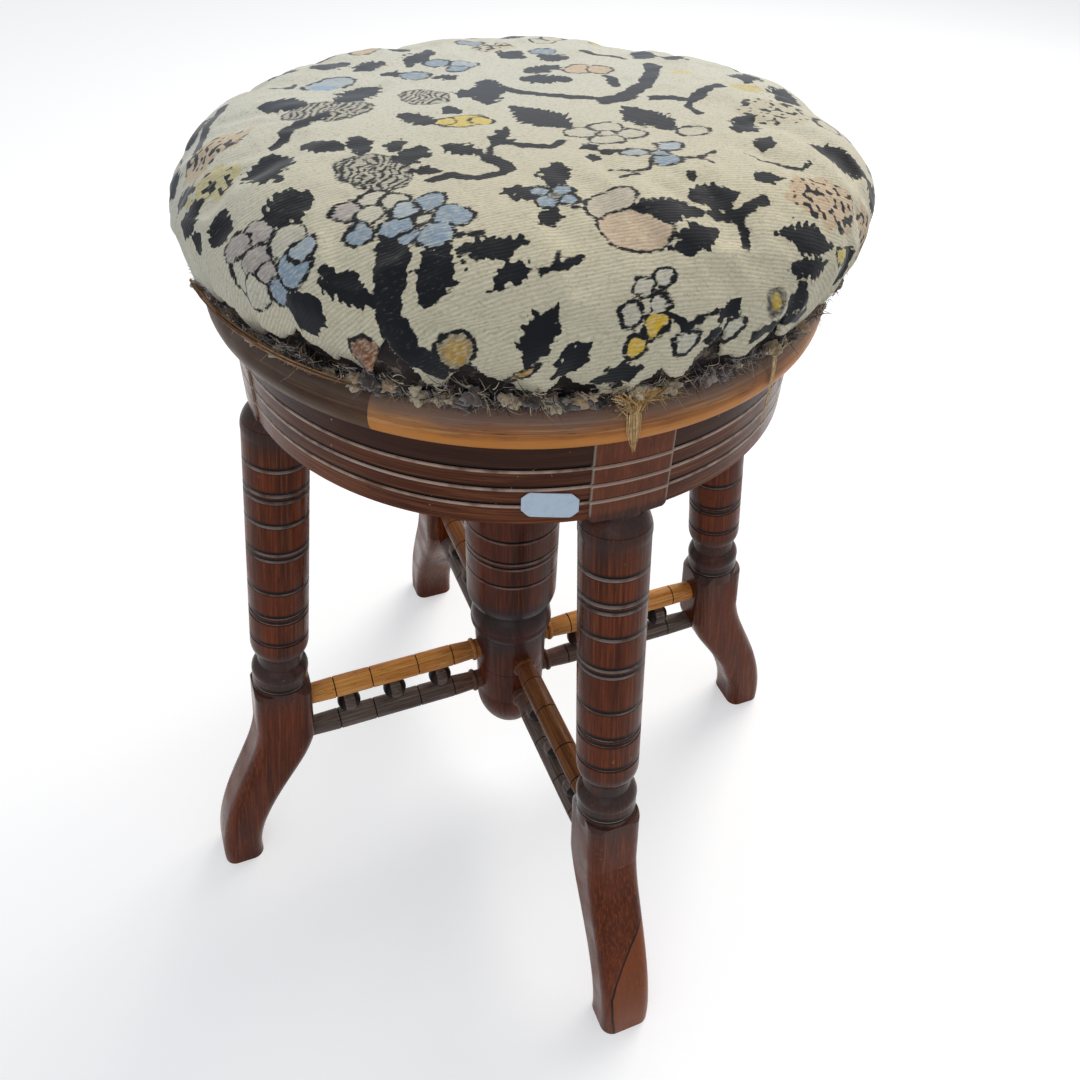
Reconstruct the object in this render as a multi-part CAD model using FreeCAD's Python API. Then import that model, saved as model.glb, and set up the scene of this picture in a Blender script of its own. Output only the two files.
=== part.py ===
import FreeCAD, Part

import math
import os

# Revolving piano stool on a turned column and four legs with sabre feet.
# The sizes are in millimetres. The origin is on the floor, on the axis of the screw, and +Z is up.
# The legs stand on the axes: right on +X, back on +Y, left on -X and front on -Y.

V = FreeCAD.Vector

# Clearances
RUNNING_GAP = 0.05
GLUE_GAP = 0.05
LOOSE_GAP = 1.0
OVERCUT = 1.0

# Apron: four curved rails between the square tops of the legs
APRON_R = 146.0
APRON_WALL = 24.0
APRON_BOTTOM_Z = 386.5
APRON_HEIGHT = 45.5
REED_RISES = (30.3, 20.3, 10.9)
REED_DEPTH = 1.6
REED_WIDTH = 3.2
RAIL_TENON_THICK = 8.0
RAIL_TENON_HEIGHT = 26.0
RAIL_TENON_LENGTH = 12.0

# Leg tops
BLOCK_WIDTH = 39.0
BLOCK_DEPTH = 30.5
BLOCK_PROUD = 1.0
BLOCK_DROP = 1.5
BLOCK_CORNER_R = 2.5

# Turned part of a leg, on an axis that rakes outwards; drops are measured down from the apron
LEG_AXIS_INSET = 12.8
LEG_RAKE_DEG = 7.5
SHAFT_R = 18.0
LEG_NECK_R = 13.2
SHOULDER_TOP_DROP = 5.5
SHOULDER_DROP = 20.5
SHOULDER_BULGE = 2.0
SHAFT_END_DROP = 175.5
SHAFT_END_BULGE = 1.2
WAIST_TOP_DROP = 187.5
WAIST_R = 14.2
WAIST_BOTTOM_DROP = 195.0
COLLAR_R = 17.6
COLLAR_DROP = 205.0
COLLAR_BULGE = 1.6
COLLAR_GROOVE_DROP = 213.0
TURNING_END_DROP = 222.5
SINGLE_RING_DROPS = (36.3, 74.1, 125.3, 169.0)
DOUBLE_RING_DROPS = (54.8, 97.1, 147.6)
SCRIBED_LINE_DROP = 13.3
RING_DEPTH = 1.3
RING_WIDTH = 3.4
RING_SPACING = 4.6
LINE_DEPTH = 0.6

# Sabre foot, sawn from the square part of the leg
FOOT_WIDTH = 33.0
FOOT_BLOCK_DROP = 214.5
FOOT_BLOCK_DEPTH = 36.4
KNEE_OUT_DROP = 254.5
KNEE_IN_DROP = 266.5
KNEE_OUT_EASE = 1.0
KNEE_IN_EASE = 3.0
FOOT_SWEEP = 30.2
SOLE_LENGTH = 27.5
SWEEP_POWER = 0.76
SWEEP_STATIONS = 6
FOOT_EDGE_R = 8.0
FOOT_SHOULDER_R = 25.0
FOOT_SHOULDER_SLOPE = 1.6

# Cross bars under the nut, halved over each other
BAR_WIDTH = 60.0
BAR_DROP = 10.0
BAR_THICK = 24.0
BAR_TENON_THICK = 12.0
BAR_TENON_HEIGHT = 16.0
BAR_TENON_LENGTH = 14.0

# Column; drops are measured down from the apron
DRUM_R = 30.5
COLUMN_TENON_R = 19.0
DRUM_END_DROP = 182.5
DRUM_END_BULGE = 1.8
COLUMN_NECK_R = 22.5
COLUMN_NECK_DROP = 196.5
COLUMN_COLLAR_R = 27.6
COLUMN_COLLAR_DROP = 209.0
COLUMN_COLLAR_WIDTH = 8.0
COLUMN_COLLAR_BULGE = 1.6
COLUMN_LOWER_R = 25.4
COLUMN_TAPER = 1.5
COLUMN_TAPER_DROP = 282.5
COLUMN_BOTTOM_DROP = 322.5
COLUMN_BOTTOM_BULGE = 6.0
COLUMN_TIP_R = 7.0
COLUMN_SINGLE_RING_DROPS = (20.5, 42.5, 76.5, 118.5, 157.0)
COLUMN_DOUBLE_RING_DROPS = (59.5, 97.5, 138.5)
COLUMN_LINE_DROP = 252.5

# Stretchers: an upper and a lower turned rail from the column to each leg, with balls between.
# Their rings and balls stand at shares of the way from column to leg.
RAIL_R = 7.5
RAIL_END_R = 6.7
RAIL_UPPER_DROP = 239.0
RAIL_LOWER_DROP = 273.0
RAIL_HOUSING = 4.0
RAIL_RING_SHARES = (0.16, 0.37, 0.64, 0.85)
RAIL_RING_DEPTH = 0.8
RAIL_RING_WIDTH = 2.2
RAIL_COLLAR_R = 8.2
RAIL_COLLAR_FROM = 1.6
RAIL_COLLAR_WIDTH = 3.6
RAIL_TENON_R = 5.0
RAIL_TENON_DEPTH = 12.4
RAIL_TENON_STOP = 2.7
BALL_R = 8.0
BALL_SHARES = (0.235, 0.51, 0.78)
PEG_R = 2.5
PEG_DEPTH = 4.0

# Iron screw, nut and washer
PITCH = 8.0
TURNS = 12.0
SPINDLE_R = 11.0
SPINDLE_BELOW_NUT = 46.0
SPINDLE_CHAMFER = 2.0
SPINDLE_NECK_R = 8.0
SPINDLE_END_ROOM = 6.0
NUT_PLATE_R = 29.0
NUT_PLATE_THICK = 4.0
NUT_BOSS_R = 15.0
NUT_BOSS_LENGTH = 18.0
NUT_SCREW_CIRCLE_R = 23.5
NUT_SCREW_COUNT = 4
NUT_SCREW_START_DEG = 45.0
WASHER_R = 22.0
WASHER_THICK = 2.5
FLANGE_R = 52.0
FLANGE_THICK = 6.0
FLANGE_CHAMFER = 2.0
FLANGE_SCREW_CIRCLE_R = 40.0
FLANGE_SCREW_COUNT = 6
FLANGE_SCREW_START_DEG = 30.0
SCREW_R = 2.2
SCREW_HEAD_R = 4.2
SCREW_HEAD_DEPTH = 2.4
SCREW_LENGTH = 15.0
SCREW_POINT = 3.0

# Seat board and its bullnose rim of four jointed segments
SEAT_OVERHANG = 11.0
SEAT_THICK = 17.5
RIM_WIDTH = 37.0
RIM_BOTTOM_INSET = 1.6
RIM_FLAT_INSET = 6.5
RIM_WIDEST_SHARE = 0.45
RIM_LOWER_EASE = 1.2
RIM_JOINT_DEG = 46.3
RIM_SEGMENTS = 4

# Cushion: stuffing on the board, and a cover drawn in and tacked down on the rim
CUSHION_HEIGHT = 69.0
CROWN_R = 780.0
CUSHION_OVERHANG = 12.5
CUSHION_SHOULDER_R = 26.0
CUSHION_FOOT_INSET = 10.0
COVER_THICK = 3.0
COVER_HEM_WIDTH = 3.0
COVER_HEM_THICK = 1.2
GATHER_COUNT = 36
GATHER_R = 3.0
GATHER_DEPTH = 1.7
GATHER_TOP_IN = 0.12
GATHER_TOP_DOWN = 0.5

# Heights and radii that follow
APRON_TOP_Z = APRON_BOTTOM_Z + APRON_HEIGHT
APRON_IN_R = APRON_R - APRON_WALL
BLOCK_R = APRON_R + BLOCK_PROUD
BLOCK_IN_R = BLOCK_R - BLOCK_DEPTH
BLOCK_BOTTOM_Z = APRON_BOTTOM_Z - BLOCK_DROP
LEG_AXIS_R = APRON_R - LEG_AXIS_INSET
RAIL_UPPER_Z = APRON_BOTTOM_Z - RAIL_UPPER_DROP
RAIL_LOWER_Z = APRON_BOTTOM_Z - RAIL_LOWER_DROP
BAR_TOP_Z = APRON_TOP_Z - BAR_DROP
BAR_BOTTOM_Z = BAR_TOP_Z - BAR_THICK
NUT_TOP_Z = BAR_TOP_Z + NUT_PLATE_THICK
NUT_BOTTOM_Z = BAR_TOP_Z - NUT_BOSS_LENGTH
WASHER_TOP_Z = NUT_TOP_Z + WASHER_THICK
SEAT_BOTTOM_Z = WASHER_TOP_Z + FLANGE_THICK
SEAT_TOP_Z = SEAT_BOTTOM_Z + SEAT_THICK
TRAVEL = PITCH * TURNS
SPINDLE_BOTTOM_Z = NUT_BOTTOM_Z - TRAVEL - SPINDLE_BELOW_NUT
RIM_MAX_R = APRON_R + SEAT_OVERHANG
RIM_BOTTOM_R = RIM_MAX_R - RIM_BOTTOM_INSET
RIM_FLAT_R = RIM_MAX_R - RIM_FLAT_INSET
SEAT_BOARD_R = RIM_MAX_R - RIM_WIDTH
CUSHION_R = RIM_MAX_R + CUSHION_OVERHANG
CUSHION_FOOT_R = RIM_MAX_R - CUSHION_FOOT_INSET
COVER_HEM_R = CUSHION_FOOT_R + COVER_HEM_WIDTH
CROWN_Z = SEAT_TOP_Z + CUSHION_HEIGHT
LEG_ANGLES = {"right": 0, "back": 90, "left": 180, "front": 270}


# General shapes

def turn_z(shape, degrees):
    """Returns a copy turned about the axis of the stool."""
    turned = shape.copy()
    turned.rotate(V(0, 0, 0), V(0, 0, 1), degrees)
    return turned


def cylinder(radius, bottom, top):
    return Part.makeCylinder(radius, top - bottom, V(0, 0, bottom))


def box_between(low, high):
    """Box from its lowest corner to its highest."""
    size = high - low
    return Part.makeBox(size.x, size.y, size.z, low)


def revolve(edges):
    """Solid from a closed outline of edges in the XZ plane, turned about Z."""
    face = Part.Face(Part.Wire(edges))
    return face.revolve(V(0, 0, 0), V(0, 0, 1), 360)


def lines(points):
    """Edges through (radius, height) points."""
    places = [V(r, 0, z) for r, z in points]
    return [Part.makeLine(a, b) for a, b in zip(places[:-1], places[1:])]


def arc(start, middle, end):
    """Arc edge through three (radius, height) points."""
    return Part.Arc(*[V(r, 0, z) for r, z in (start, middle, end)]).toShape()


def bulge(start, end, rise):
    """Arc edge from start to end, with its middle a given distance to the left of the chord."""
    dr = end[0] - start[0]
    dz = end[1] - start[1]
    length = math.hypot(dr, dz)
    middle = ((start[0] + end[0]) / 2 - dz / length * rise, (start[1] + end[1]) / 2 + dr / length * rise)
    return arc(start, middle, end)


def turned_groove(radius, height, depth, width):
    """Ring of V section that a turning tool takes out at a given height."""
    over = depth
    points = [
        (radius + over, height + width),
        (radius - depth, height),
        (radius + over, height - width),
        (radius + over, height + width),
    ]
    return revolve(lines(points))


def cut_all(shape, cutters):
    """Shape less all cutters."""
    return shape.cut(Part.makeCompound(cutters))


def along_x(shape):
    """Turns a shape about +Z into one about +X."""
    laid = shape.copy()
    laid.rotate(V(0, 0, 0), V(0, 1, 0), 90)
    return laid


def screw(tip_direction):
    """Countersunk wood screw with the top of its head at the origin; it points along Z by the sign given."""
    neck_z = SCREW_HEAD_DEPTH
    end_z = SCREW_LENGTH
    points = [
        (0, 0),
        (SCREW_HEAD_R, 0),
        (SCREW_R, neck_z),
        (SCREW_R, end_z - SCREW_POINT),
        (0, end_z),
        (0, 0),
    ]
    return revolve(lines([(r, tip_direction * z) for r, z in points]))


def screw_ring(circle_r, count, height, tip_direction, start_deg):
    """Screws in a ring, as separate solids."""
    ring = []
    for index in range(count):
        angle = math.radians(start_deg + index * 360 / count)
        one = screw(tip_direction)
        one.translate(V(circle_r * math.cos(angle), circle_r * math.sin(angle), height))
        ring.append(one)
    return ring


# Legs

def rake_scale():
    """Length along the raked axis of a leg for each unit of height."""
    return 1 / math.cos(math.radians(LEG_RAKE_DEG))


def leg_axis_r(height):
    """Distance of the raked axis from the middle of the stool."""
    return LEG_AXIS_R + (APRON_BOTTOM_Z - height) * math.tan(math.radians(LEG_RAKE_DEG))


def on_leg_axis(drop):
    """Place along the raked axis for a drop below the bottom of the apron."""
    return -drop * rake_scale()


def rake(shape):
    """Takes a shape turned about Z onto the raked axis of the leg on +X."""
    placed = shape.copy()
    placed.rotate(V(0, 0, 0), V(0, 1, 0), -LEG_RAKE_DEG)
    placed.translate(V(LEG_AXIS_R, 0, APRON_BOTTOM_Z))
    return placed


def ring_drops(singles, doubles):
    """Drops of all grooves; a double ring is two side by side."""
    drops = list(singles)
    for drop in doubles:
        drops += [drop - RING_SPACING / 2, drop + RING_SPACING / 2]
    return drops


def leg_turning():
    """Neck, rounded shoulder, ringed shaft, waist and collar of a leg, upright at the origin."""
    top = BLOCK_DROP
    shoulder_top = (LEG_NECK_R, on_leg_axis(SHOULDER_TOP_DROP))
    shoulder = (SHAFT_R, on_leg_axis(SHOULDER_DROP))
    shaft_end = (SHAFT_R, on_leg_axis(SHAFT_END_DROP))
    waist_top = (WAIST_R, on_leg_axis(WAIST_TOP_DROP))
    waist_end = (WAIST_R, on_leg_axis(WAIST_BOTTOM_DROP))
    collar = (COLLAR_R, on_leg_axis(COLLAR_DROP))
    bottom = on_leg_axis(TURNING_END_DROP)
    edges = lines([(0, top), (LEG_NECK_R, top), shoulder_top])
    edges.append(bulge(shoulder_top, shoulder, SHOULDER_BULGE))
    edges += lines([shoulder, shaft_end])
    edges.append(bulge(shaft_end, waist_top, SHAFT_END_BULGE))
    edges += lines([waist_top, waist_end])
    edges.append(bulge(waist_end, collar, COLLAR_BULGE))
    edges += lines([collar, (COLLAR_R, bottom), (0, bottom), (0, top)])
    turning = revolve(edges)
    drops = ring_drops(SINGLE_RING_DROPS, DOUBLE_RING_DROPS)
    cutters = [turned_groove(SHAFT_R, on_leg_axis(drop), RING_DEPTH, RING_WIDTH / 2) for drop in drops]
    cutters.append(turned_groove(SHAFT_R, on_leg_axis(SCRIBED_LINE_DROP), LINE_DEPTH, LINE_DEPTH))
    cutters.append(turned_groove(COLLAR_R, on_leg_axis(COLLAR_GROOVE_DROP), RING_DEPTH, RING_WIDTH / 2))
    return cut_all(turning, cutters)


def sweep_share(share):
    """Eased share of the foot's sideways sweep at a share of the drop from knee to floor."""
    eased = share ** SWEEP_POWER
    return eased * eased * (3 - 2 * eased)


def foot_edge(knee_z, knee_r, floor_r):
    """Curve edge of the sabre foot, from its knee down to the floor."""
    points = []
    for index in range(SWEEP_STATIONS + 1):
        share = index / SWEEP_STATIONS
        points.append(V(knee_r + (floor_r - knee_r) * sweep_share(share), 0, knee_z * (1 - share)))
    curve = Part.BSplineCurve()
    curve.interpolate(points)
    return curve.toShape()


def sabre_foot():
    """Square part of the leg that turns into the outward sweeping foot, on +X."""
    half = FOOT_BLOCK_DEPTH / 2
    top_z = APRON_BOTTOM_Z - FOOT_BLOCK_DROP
    knee_out_z = APRON_BOTTOM_Z - KNEE_OUT_DROP
    knee_in_z = APRON_BOTTOM_Z - KNEE_IN_DROP
    sole_r = leg_axis_r(0) + FOOT_SWEEP
    toe_r = sole_r + SOLE_LENGTH / 2
    heel_r = sole_r - SOLE_LENGTH / 2
    out_top = (leg_axis_r(top_z) + half, top_z)
    out_knee = (leg_axis_r(knee_out_z) + half - KNEE_OUT_EASE, knee_out_z)
    in_top = (leg_axis_r(top_z) - half, top_z)
    in_knee = (leg_axis_r(knee_in_z) - half - KNEE_IN_EASE, knee_in_z)
    outer = foot_edge(knee_out_z, out_knee[0], toe_r)
    inner = foot_edge(knee_in_z, in_knee[0], heel_r)
    sole = lines([(toe_r, 0), (heel_r, 0)])
    sides = lines([in_knee, in_top, out_top, out_knee])
    face = Part.Face(Part.Wire(Part.__sortEdges__([outer, inner] + sole + sides)))
    face.translate(V(0, -FOOT_WIDTH / 2, 0))
    foot = face.extrude(V(0, FOOT_WIDTH, 0))
    long_edges = [e for e in foot.Edges if is_long_foot_edge(e)]
    return foot.makeFillet(FOOT_EDGE_R, long_edges)


def is_long_foot_edge(edge):
    """True for the edges that run down the sides of the foot, not across it."""
    ends = [v.Point for v in edge.Vertexes]
    sideways = abs(ends[0].y - ends[1].y)
    drop = abs(ends[0].z - ends[1].z)
    return sideways < OVERCUT and drop > OVERCUT


def foot_shoulders():
    """Cone about the raked axis that rounds off the top of the square part."""
    top = on_leg_axis(FOOT_BLOCK_DROP) + OVERCUT
    wide_z = on_leg_axis(FOOT_BLOCK_DROP) - (FOOT_SHOULDER_R - COLLAR_R) * FOOT_SHOULDER_SLOPE
    floor_z = on_leg_axis(APRON_BOTTOM_Z + APRON_R)
    wide_r = SOLE_LENGTH + FOOT_BLOCK_DEPTH + FOOT_SWEEP
    points = [(0, top), (COLLAR_R, top), (FOOT_SHOULDER_R, wide_z), (wide_r, wide_z - wide_r)]
    points += [(wide_r, floor_z), (0, floor_z), (0, top)]
    return rake(revolve(lines(points)))


def reed_cutters(radius):
    """The grooves that run round the apron, for a face at a given radius."""
    heights = [APRON_BOTTOM_Z + rise for rise in REED_RISES]
    return [turned_groove(radius, z, REED_DEPTH, REED_WIDTH / 2) for z in heights]


def leg_block():
    """Top of the leg that stands between two apron rails, on +X."""
    half = BLOCK_WIDTH / 2
    blank = box_between(V(BLOCK_IN_R, -half, BLOCK_BOTTOM_Z), V(BLOCK_R + OVERCUT, half, APRON_TOP_Z))
    lower = [e for e in blank.Edges if is_lower_block_edge(e)]
    blank = blank.makeFillet(BLOCK_CORNER_R, lower)
    return blank.common(cylinder(BLOCK_R, BLOCK_BOTTOM_Z, APRON_TOP_Z))


def is_lower_block_edge(edge):
    """True for the two edges that run in from the face of the leg's top, along its bottom."""
    box = edge.BoundBox
    return box.ZMax < BLOCK_BOTTOM_Z + OVERCUT and box.XLength > OVERCUT


def leg_blank():
    """Whole leg on +X, before its mortises."""
    foot = sabre_foot().common(foot_shoulders())
    leg = leg_block().fuse([rake(leg_turning()), foot])
    return leg.removeSplitter()


def rail_mortise_z():
    """Bottom and top of the tenons between apron rails and legs."""
    middle = (APRON_BOTTOM_Z + APRON_TOP_Z) / 2
    return middle - RAIL_TENON_HEIGHT / 2, middle + RAIL_TENON_HEIGHT / 2


def rail_tenon_box(gap):
    """Tenon of an apron rail in the leg on +X, on its +Y side."""
    low_z, high_z = rail_mortise_z()
    middle_r = APRON_R - APRON_WALL / 2
    half_thick = RAIL_TENON_THICK / 2 + gap
    inner_y = BLOCK_WIDTH / 2 - RAIL_TENON_LENGTH - gap
    low = V(middle_r - half_thick, inner_y, low_z - gap)
    high = V(middle_r + half_thick, BLOCK_WIDTH / 2 + OVERCUT, high_z + gap)
    return box_between(low, high)


def bar_tenon_z():
    """Bottom and top of the tenons at the ends of the cross bars."""
    middle = (BAR_BOTTOM_Z + BAR_TOP_Z) / 2
    return middle - BAR_TENON_HEIGHT / 2, middle + BAR_TENON_HEIGHT / 2


def bar_tenon_box(gap):
    """Tenon of a cross bar in the leg on +X."""
    low_z, high_z = bar_tenon_z()
    half = BAR_TENON_THICK / 2 + gap
    low = V(BLOCK_IN_R - OVERCUT, -half, low_z - gap)
    high = V(BLOCK_IN_R + BAR_TENON_LENGTH + gap, half, high_z + gap)
    return box_between(low, high)


def stretcher_tenon(height, gap):
    """Round tenon that runs the length of a stretcher rail, on +X."""
    start = COLUMN_LOWER_R - RAIL_TENON_DEPTH - gap
    end = leg_axis_r(RAIL_UPPER_Z) - RAIL_TENON_STOP + gap
    return Part.makeCylinder(RAIL_TENON_R + gap, end - start, V(start, 0, height), V(1, 0, 0))


def on_rail(share):
    """Place at a share of the way from the column to the leg."""
    end = leg_axis_r(RAIL_UPPER_Z) - FOOT_BLOCK_DEPTH / 2
    return COLUMN_LOWER_R + (end - COLUMN_LOWER_R) * share


def make_leg(blank):
    """Leg on +X with its grooves and mortises."""
    side_mortise = rail_tenon_box(GLUE_GAP)
    other_mortise = side_mortise.mirror(V(0, 0, 0), V(0, 1, 0))
    cutters = reed_cutters(BLOCK_R)
    cutters += [side_mortise, other_mortise, bar_tenon_box(GLUE_GAP)]
    cutters += [stretcher_tenon(z, GLUE_GAP) for z in (RAIL_UPPER_Z, RAIL_LOWER_Z)]
    leg = blank
    for cutter in cutters:
        leg = leg.cut(cutter)
    return leg


# Apron rails and cross bars

def make_apron_rail():
    """Curved rail between the legs on +X and +Y, with a tenon at each end."""
    side = BLOCK_WIDTH / 2
    ring = cylinder(APRON_R, APRON_BOTTOM_Z, APRON_TOP_Z).cut(cylinder(APRON_IN_R, 0, SEAT_TOP_Z))
    quarter = box_between(V(side, side, 0), V(APRON_R * 2, APRON_R * 2, APRON_TOP_Z * 2))
    rail = cut_all(ring.common(quarter), reed_cutters(APRON_R))
    tenon = rail_tenon_box(0)
    far_tenon = tenon.mirror(V(0, 0, 0), V(1, -1, 0))
    return rail.fuse([tenon, far_tenon]).removeSplitter()


def make_cross_bar(keep_upper_half):
    """Cross bar along X, halved in the middle, with a tenon at each end."""
    half = BAR_WIDTH / 2
    middle_z = (BAR_BOTTOM_Z + BAR_TOP_Z) / 2
    bar = box_between(V(-BLOCK_IN_R, -half, BAR_BOTTOM_Z), V(BLOCK_IN_R, half, BAR_TOP_Z))
    tenon = bar_tenon_box(0)
    bar = bar.fuse([tenon, turn_z(tenon, 180)])
    low_z, high_z = (BAR_BOTTOM_Z, middle_z) if keep_upper_half else (middle_z, BAR_TOP_Z)
    notch = box_between(V(-half, -half - OVERCUT, low_z), V(half, half + OVERCUT, high_z))
    bar = bar.cut(notch)
    bar = bar.cut(cylinder(COLUMN_TENON_R + GLUE_GAP, BAR_BOTTOM_Z, BAR_TOP_Z))
    for hole in nut_screws():
        bar = bar.cut(hole)
    return bar.removeSplitter()


# Column

def below_apron(drop):
    """Height of a place a given drop below the apron."""
    return APRON_BOTTOM_Z - drop


def column_blank():
    """Turned outside of the column, from its tenon down to its rounded end."""
    top = BAR_TOP_Z
    collar_end_z = below_apron(COLUMN_COLLAR_DROP) - COLUMN_COLLAR_WIDTH
    bottom_z = below_apron(COLUMN_BOTTOM_DROP)
    drum_end = (DRUM_R, below_apron(DRUM_END_DROP))
    neck = (COLUMN_NECK_R, below_apron(COLUMN_NECK_DROP))
    collar = (COLUMN_COLLAR_R, below_apron(COLUMN_COLLAR_DROP))
    lower_top = (COLUMN_LOWER_R, collar_end_z)
    taper = (COLUMN_LOWER_R - COLUMN_TAPER, below_apron(COLUMN_TAPER_DROP))
    tip = (COLUMN_TIP_R, bottom_z)
    edges = lines([(0, top), (COLUMN_TENON_R, top), (COLUMN_TENON_R, BAR_BOTTOM_Z), (DRUM_R, BAR_BOTTOM_Z)])
    edges += lines([(DRUM_R, BAR_BOTTOM_Z), drum_end])
    edges.append(bulge(drum_end, neck, DRUM_END_BULGE))
    edges.append(bulge(neck, collar, COLUMN_COLLAR_BULGE))
    edges.append(bulge(collar, lower_top, COLUMN_COLLAR_BULGE))
    edges += lines([lower_top, taper])
    edges.append(bulge(taper, tip, COLUMN_BOTTOM_BULGE))
    edges += lines([tip, (0, bottom_z), (0, top)])
    column = revolve(edges)
    drops = ring_drops(COLUMN_SINGLE_RING_DROPS, COLUMN_DOUBLE_RING_DROPS)
    cutters = [turned_groove(DRUM_R, below_apron(drop), RING_DEPTH, RING_WIDTH / 2) for drop in drops]
    line_r = COLUMN_LOWER_R - COLUMN_TAPER / 2
    cutters.append(turned_groove(line_r, below_apron(COLUMN_LINE_DROP), LINE_DEPTH, LINE_DEPTH))
    return cut_all(column, cutters)


def make_column(blank):
    """Column with the bore for the screw, the seat of the nut and the holes of the stretchers."""
    bore = cylinder(SPINDLE_R + LOOSE_GAP, SPINDLE_BOTTOM_Z - SPINDLE_END_ROOM, BAR_TOP_Z)
    nut_seat = cylinder(NUT_BOSS_R + GLUE_GAP, NUT_BOTTOM_Z - GLUE_GAP, BAR_TOP_Z)
    column = blank.cut(bore).cut(nut_seat)
    for angle in LEG_ANGLES.values():
        for height in (RAIL_UPPER_Z, RAIL_LOWER_Z):
            column = column.cut(turn_z(stretcher_tenon(height, GLUE_GAP), angle))
    return column


# Stretchers

def stretcher_body(height, leg, column):
    """Turned rail on +X that fits against the column and the leg."""
    ring_places = [on_rail(share) for share in RAIL_RING_SHARES]
    start = COLUMN_LOWER_R - RAIL_HOUSING
    collar_start = COLUMN_LOWER_R + RAIL_COLLAR_FROM
    collar_end = collar_start + RAIL_COLLAR_WIDTH
    swell = ring_places[0]
    slim = ring_places[-1]
    end = leg_axis_r(height) - FOOT_BLOCK_DEPTH / 4
    edges = lines([(0, start), (RAIL_END_R, start), (RAIL_END_R, collar_start)])
    edges.append(bulge((RAIL_END_R, collar_start), (RAIL_END_R, collar_end), RAIL_END_R - RAIL_COLLAR_R))
    edges += lines([(RAIL_END_R, collar_end), (RAIL_R, swell), (RAIL_R, slim), (RAIL_END_R, end), (0, end)])
    edges += lines([(0, end), (0, start)])
    rail = revolve(edges)
    rings = [turned_groove(RAIL_R, place, RAIL_RING_DEPTH, RAIL_RING_WIDTH / 2) for place in ring_places]
    rail = along_x(cut_all(rail, rings))
    rail.translate(V(0, 0, height))
    return rail.cut(column).cut(leg)


def make_stretcher_rail(height, leg, column):
    """Rail with its tenons, drilled for the pegs of the balls."""
    rail = stretcher_body(height, leg, column).fuse(stretcher_tenon(height, 0))
    for peg in ball_pegs(GLUE_GAP):
        rail = rail.cut(peg)
    return rail.removeSplitter()


def ball_pegs(gap):
    """Pegs of the balls between the two rails on +X."""
    bottom = RAIL_LOWER_Z + RAIL_R - PEG_DEPTH - gap
    top = RAIL_UPPER_Z - RAIL_R + PEG_DEPTH + gap
    places = [on_rail(share) for share in BALL_SHARES]
    return [Part.makeCylinder(PEG_R + gap, top - bottom, V(x, 0, bottom)) for x in places]


def make_balls():
    """Balls with their pegs between the two rails on +X, as separate solids."""
    middle_z = (RAIL_UPPER_Z + RAIL_LOWER_Z) / 2
    balls = []
    for share, peg in zip(BALL_SHARES, ball_pegs(0)):
        ball = Part.makeSphere(BALL_R, V(on_rail(share), 0, middle_z))
        balls.append(ball.fuse(peg).removeSplitter())
    return Part.makeCompound(balls)


# Screw and its fittings

def nut_screws():
    """Screws that hold the nut plate down on the cross bars."""
    return screw_ring(NUT_SCREW_CIRCLE_R, NUT_SCREW_COUNT, NUT_TOP_Z, -1, NUT_SCREW_START_DEG)


def flange_screws():
    """Screws that hold the flange up against the seat board."""
    count = FLANGE_SCREW_COUNT
    return screw_ring(FLANGE_SCREW_CIRCLE_R, count, WASHER_TOP_Z, 1, FLANGE_SCREW_START_DEG)


def make_nut():
    """Round iron nut plate with a boss that sits in the column."""
    plate = cylinder(NUT_PLATE_R, BAR_TOP_Z, NUT_TOP_Z)
    boss = cylinder(NUT_BOSS_R, NUT_BOTTOM_Z, BAR_TOP_Z)
    nut = plate.fuse(boss).removeSplitter()
    nut = nut.cut(cylinder(SPINDLE_R + RUNNING_GAP, 0, SEAT_TOP_Z))
    for hole in nut_screws():
        nut = nut.cut(hole)
    return nut


def make_washer():
    """Plain washer that lies on the nut, loose round the screw."""
    return cylinder(WASHER_R, NUT_TOP_Z, WASHER_TOP_Z).cut(cylinder(SPINDLE_R + RUNNING_GAP, 0, SEAT_TOP_Z))


def make_spindle():
    """Iron screw, riveted into the flange by its neck."""
    points = [
        (0, SPINDLE_BOTTOM_Z),
        (SPINDLE_R - SPINDLE_CHAMFER, SPINDLE_BOTTOM_Z),
        (SPINDLE_R, SPINDLE_BOTTOM_Z + SPINDLE_CHAMFER),
        (SPINDLE_R, WASHER_TOP_Z),
        (SPINDLE_NECK_R, WASHER_TOP_Z),
        (SPINDLE_NECK_R, SEAT_BOTTOM_Z),
        (0, SEAT_BOTTOM_Z),
        (0, SPINDLE_BOTTOM_Z),
    ]
    return revolve(lines(points))


def make_flange():
    """Round iron flange under the seat board."""
    points = [
        (SPINDLE_NECK_R, WASHER_TOP_Z),
        (FLANGE_R - FLANGE_CHAMFER, WASHER_TOP_Z),
        (FLANGE_R, WASHER_TOP_Z + FLANGE_CHAMFER),
        (FLANGE_R, SEAT_BOTTOM_Z),
        (SPINDLE_NECK_R, SEAT_BOTTOM_Z),
        (SPINDLE_NECK_R, WASHER_TOP_Z),
    ]
    flange = revolve(lines(points))
    for hole in flange_screws():
        flange = flange.cut(hole)
    return flange


# Seat

def make_seat_board():
    """Round board inside the rim."""
    board = cylinder(SEAT_BOARD_R, SEAT_BOTTOM_Z, SEAT_TOP_Z)
    for hole in flange_screws():
        board = board.cut(hole)
    return board


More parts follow.
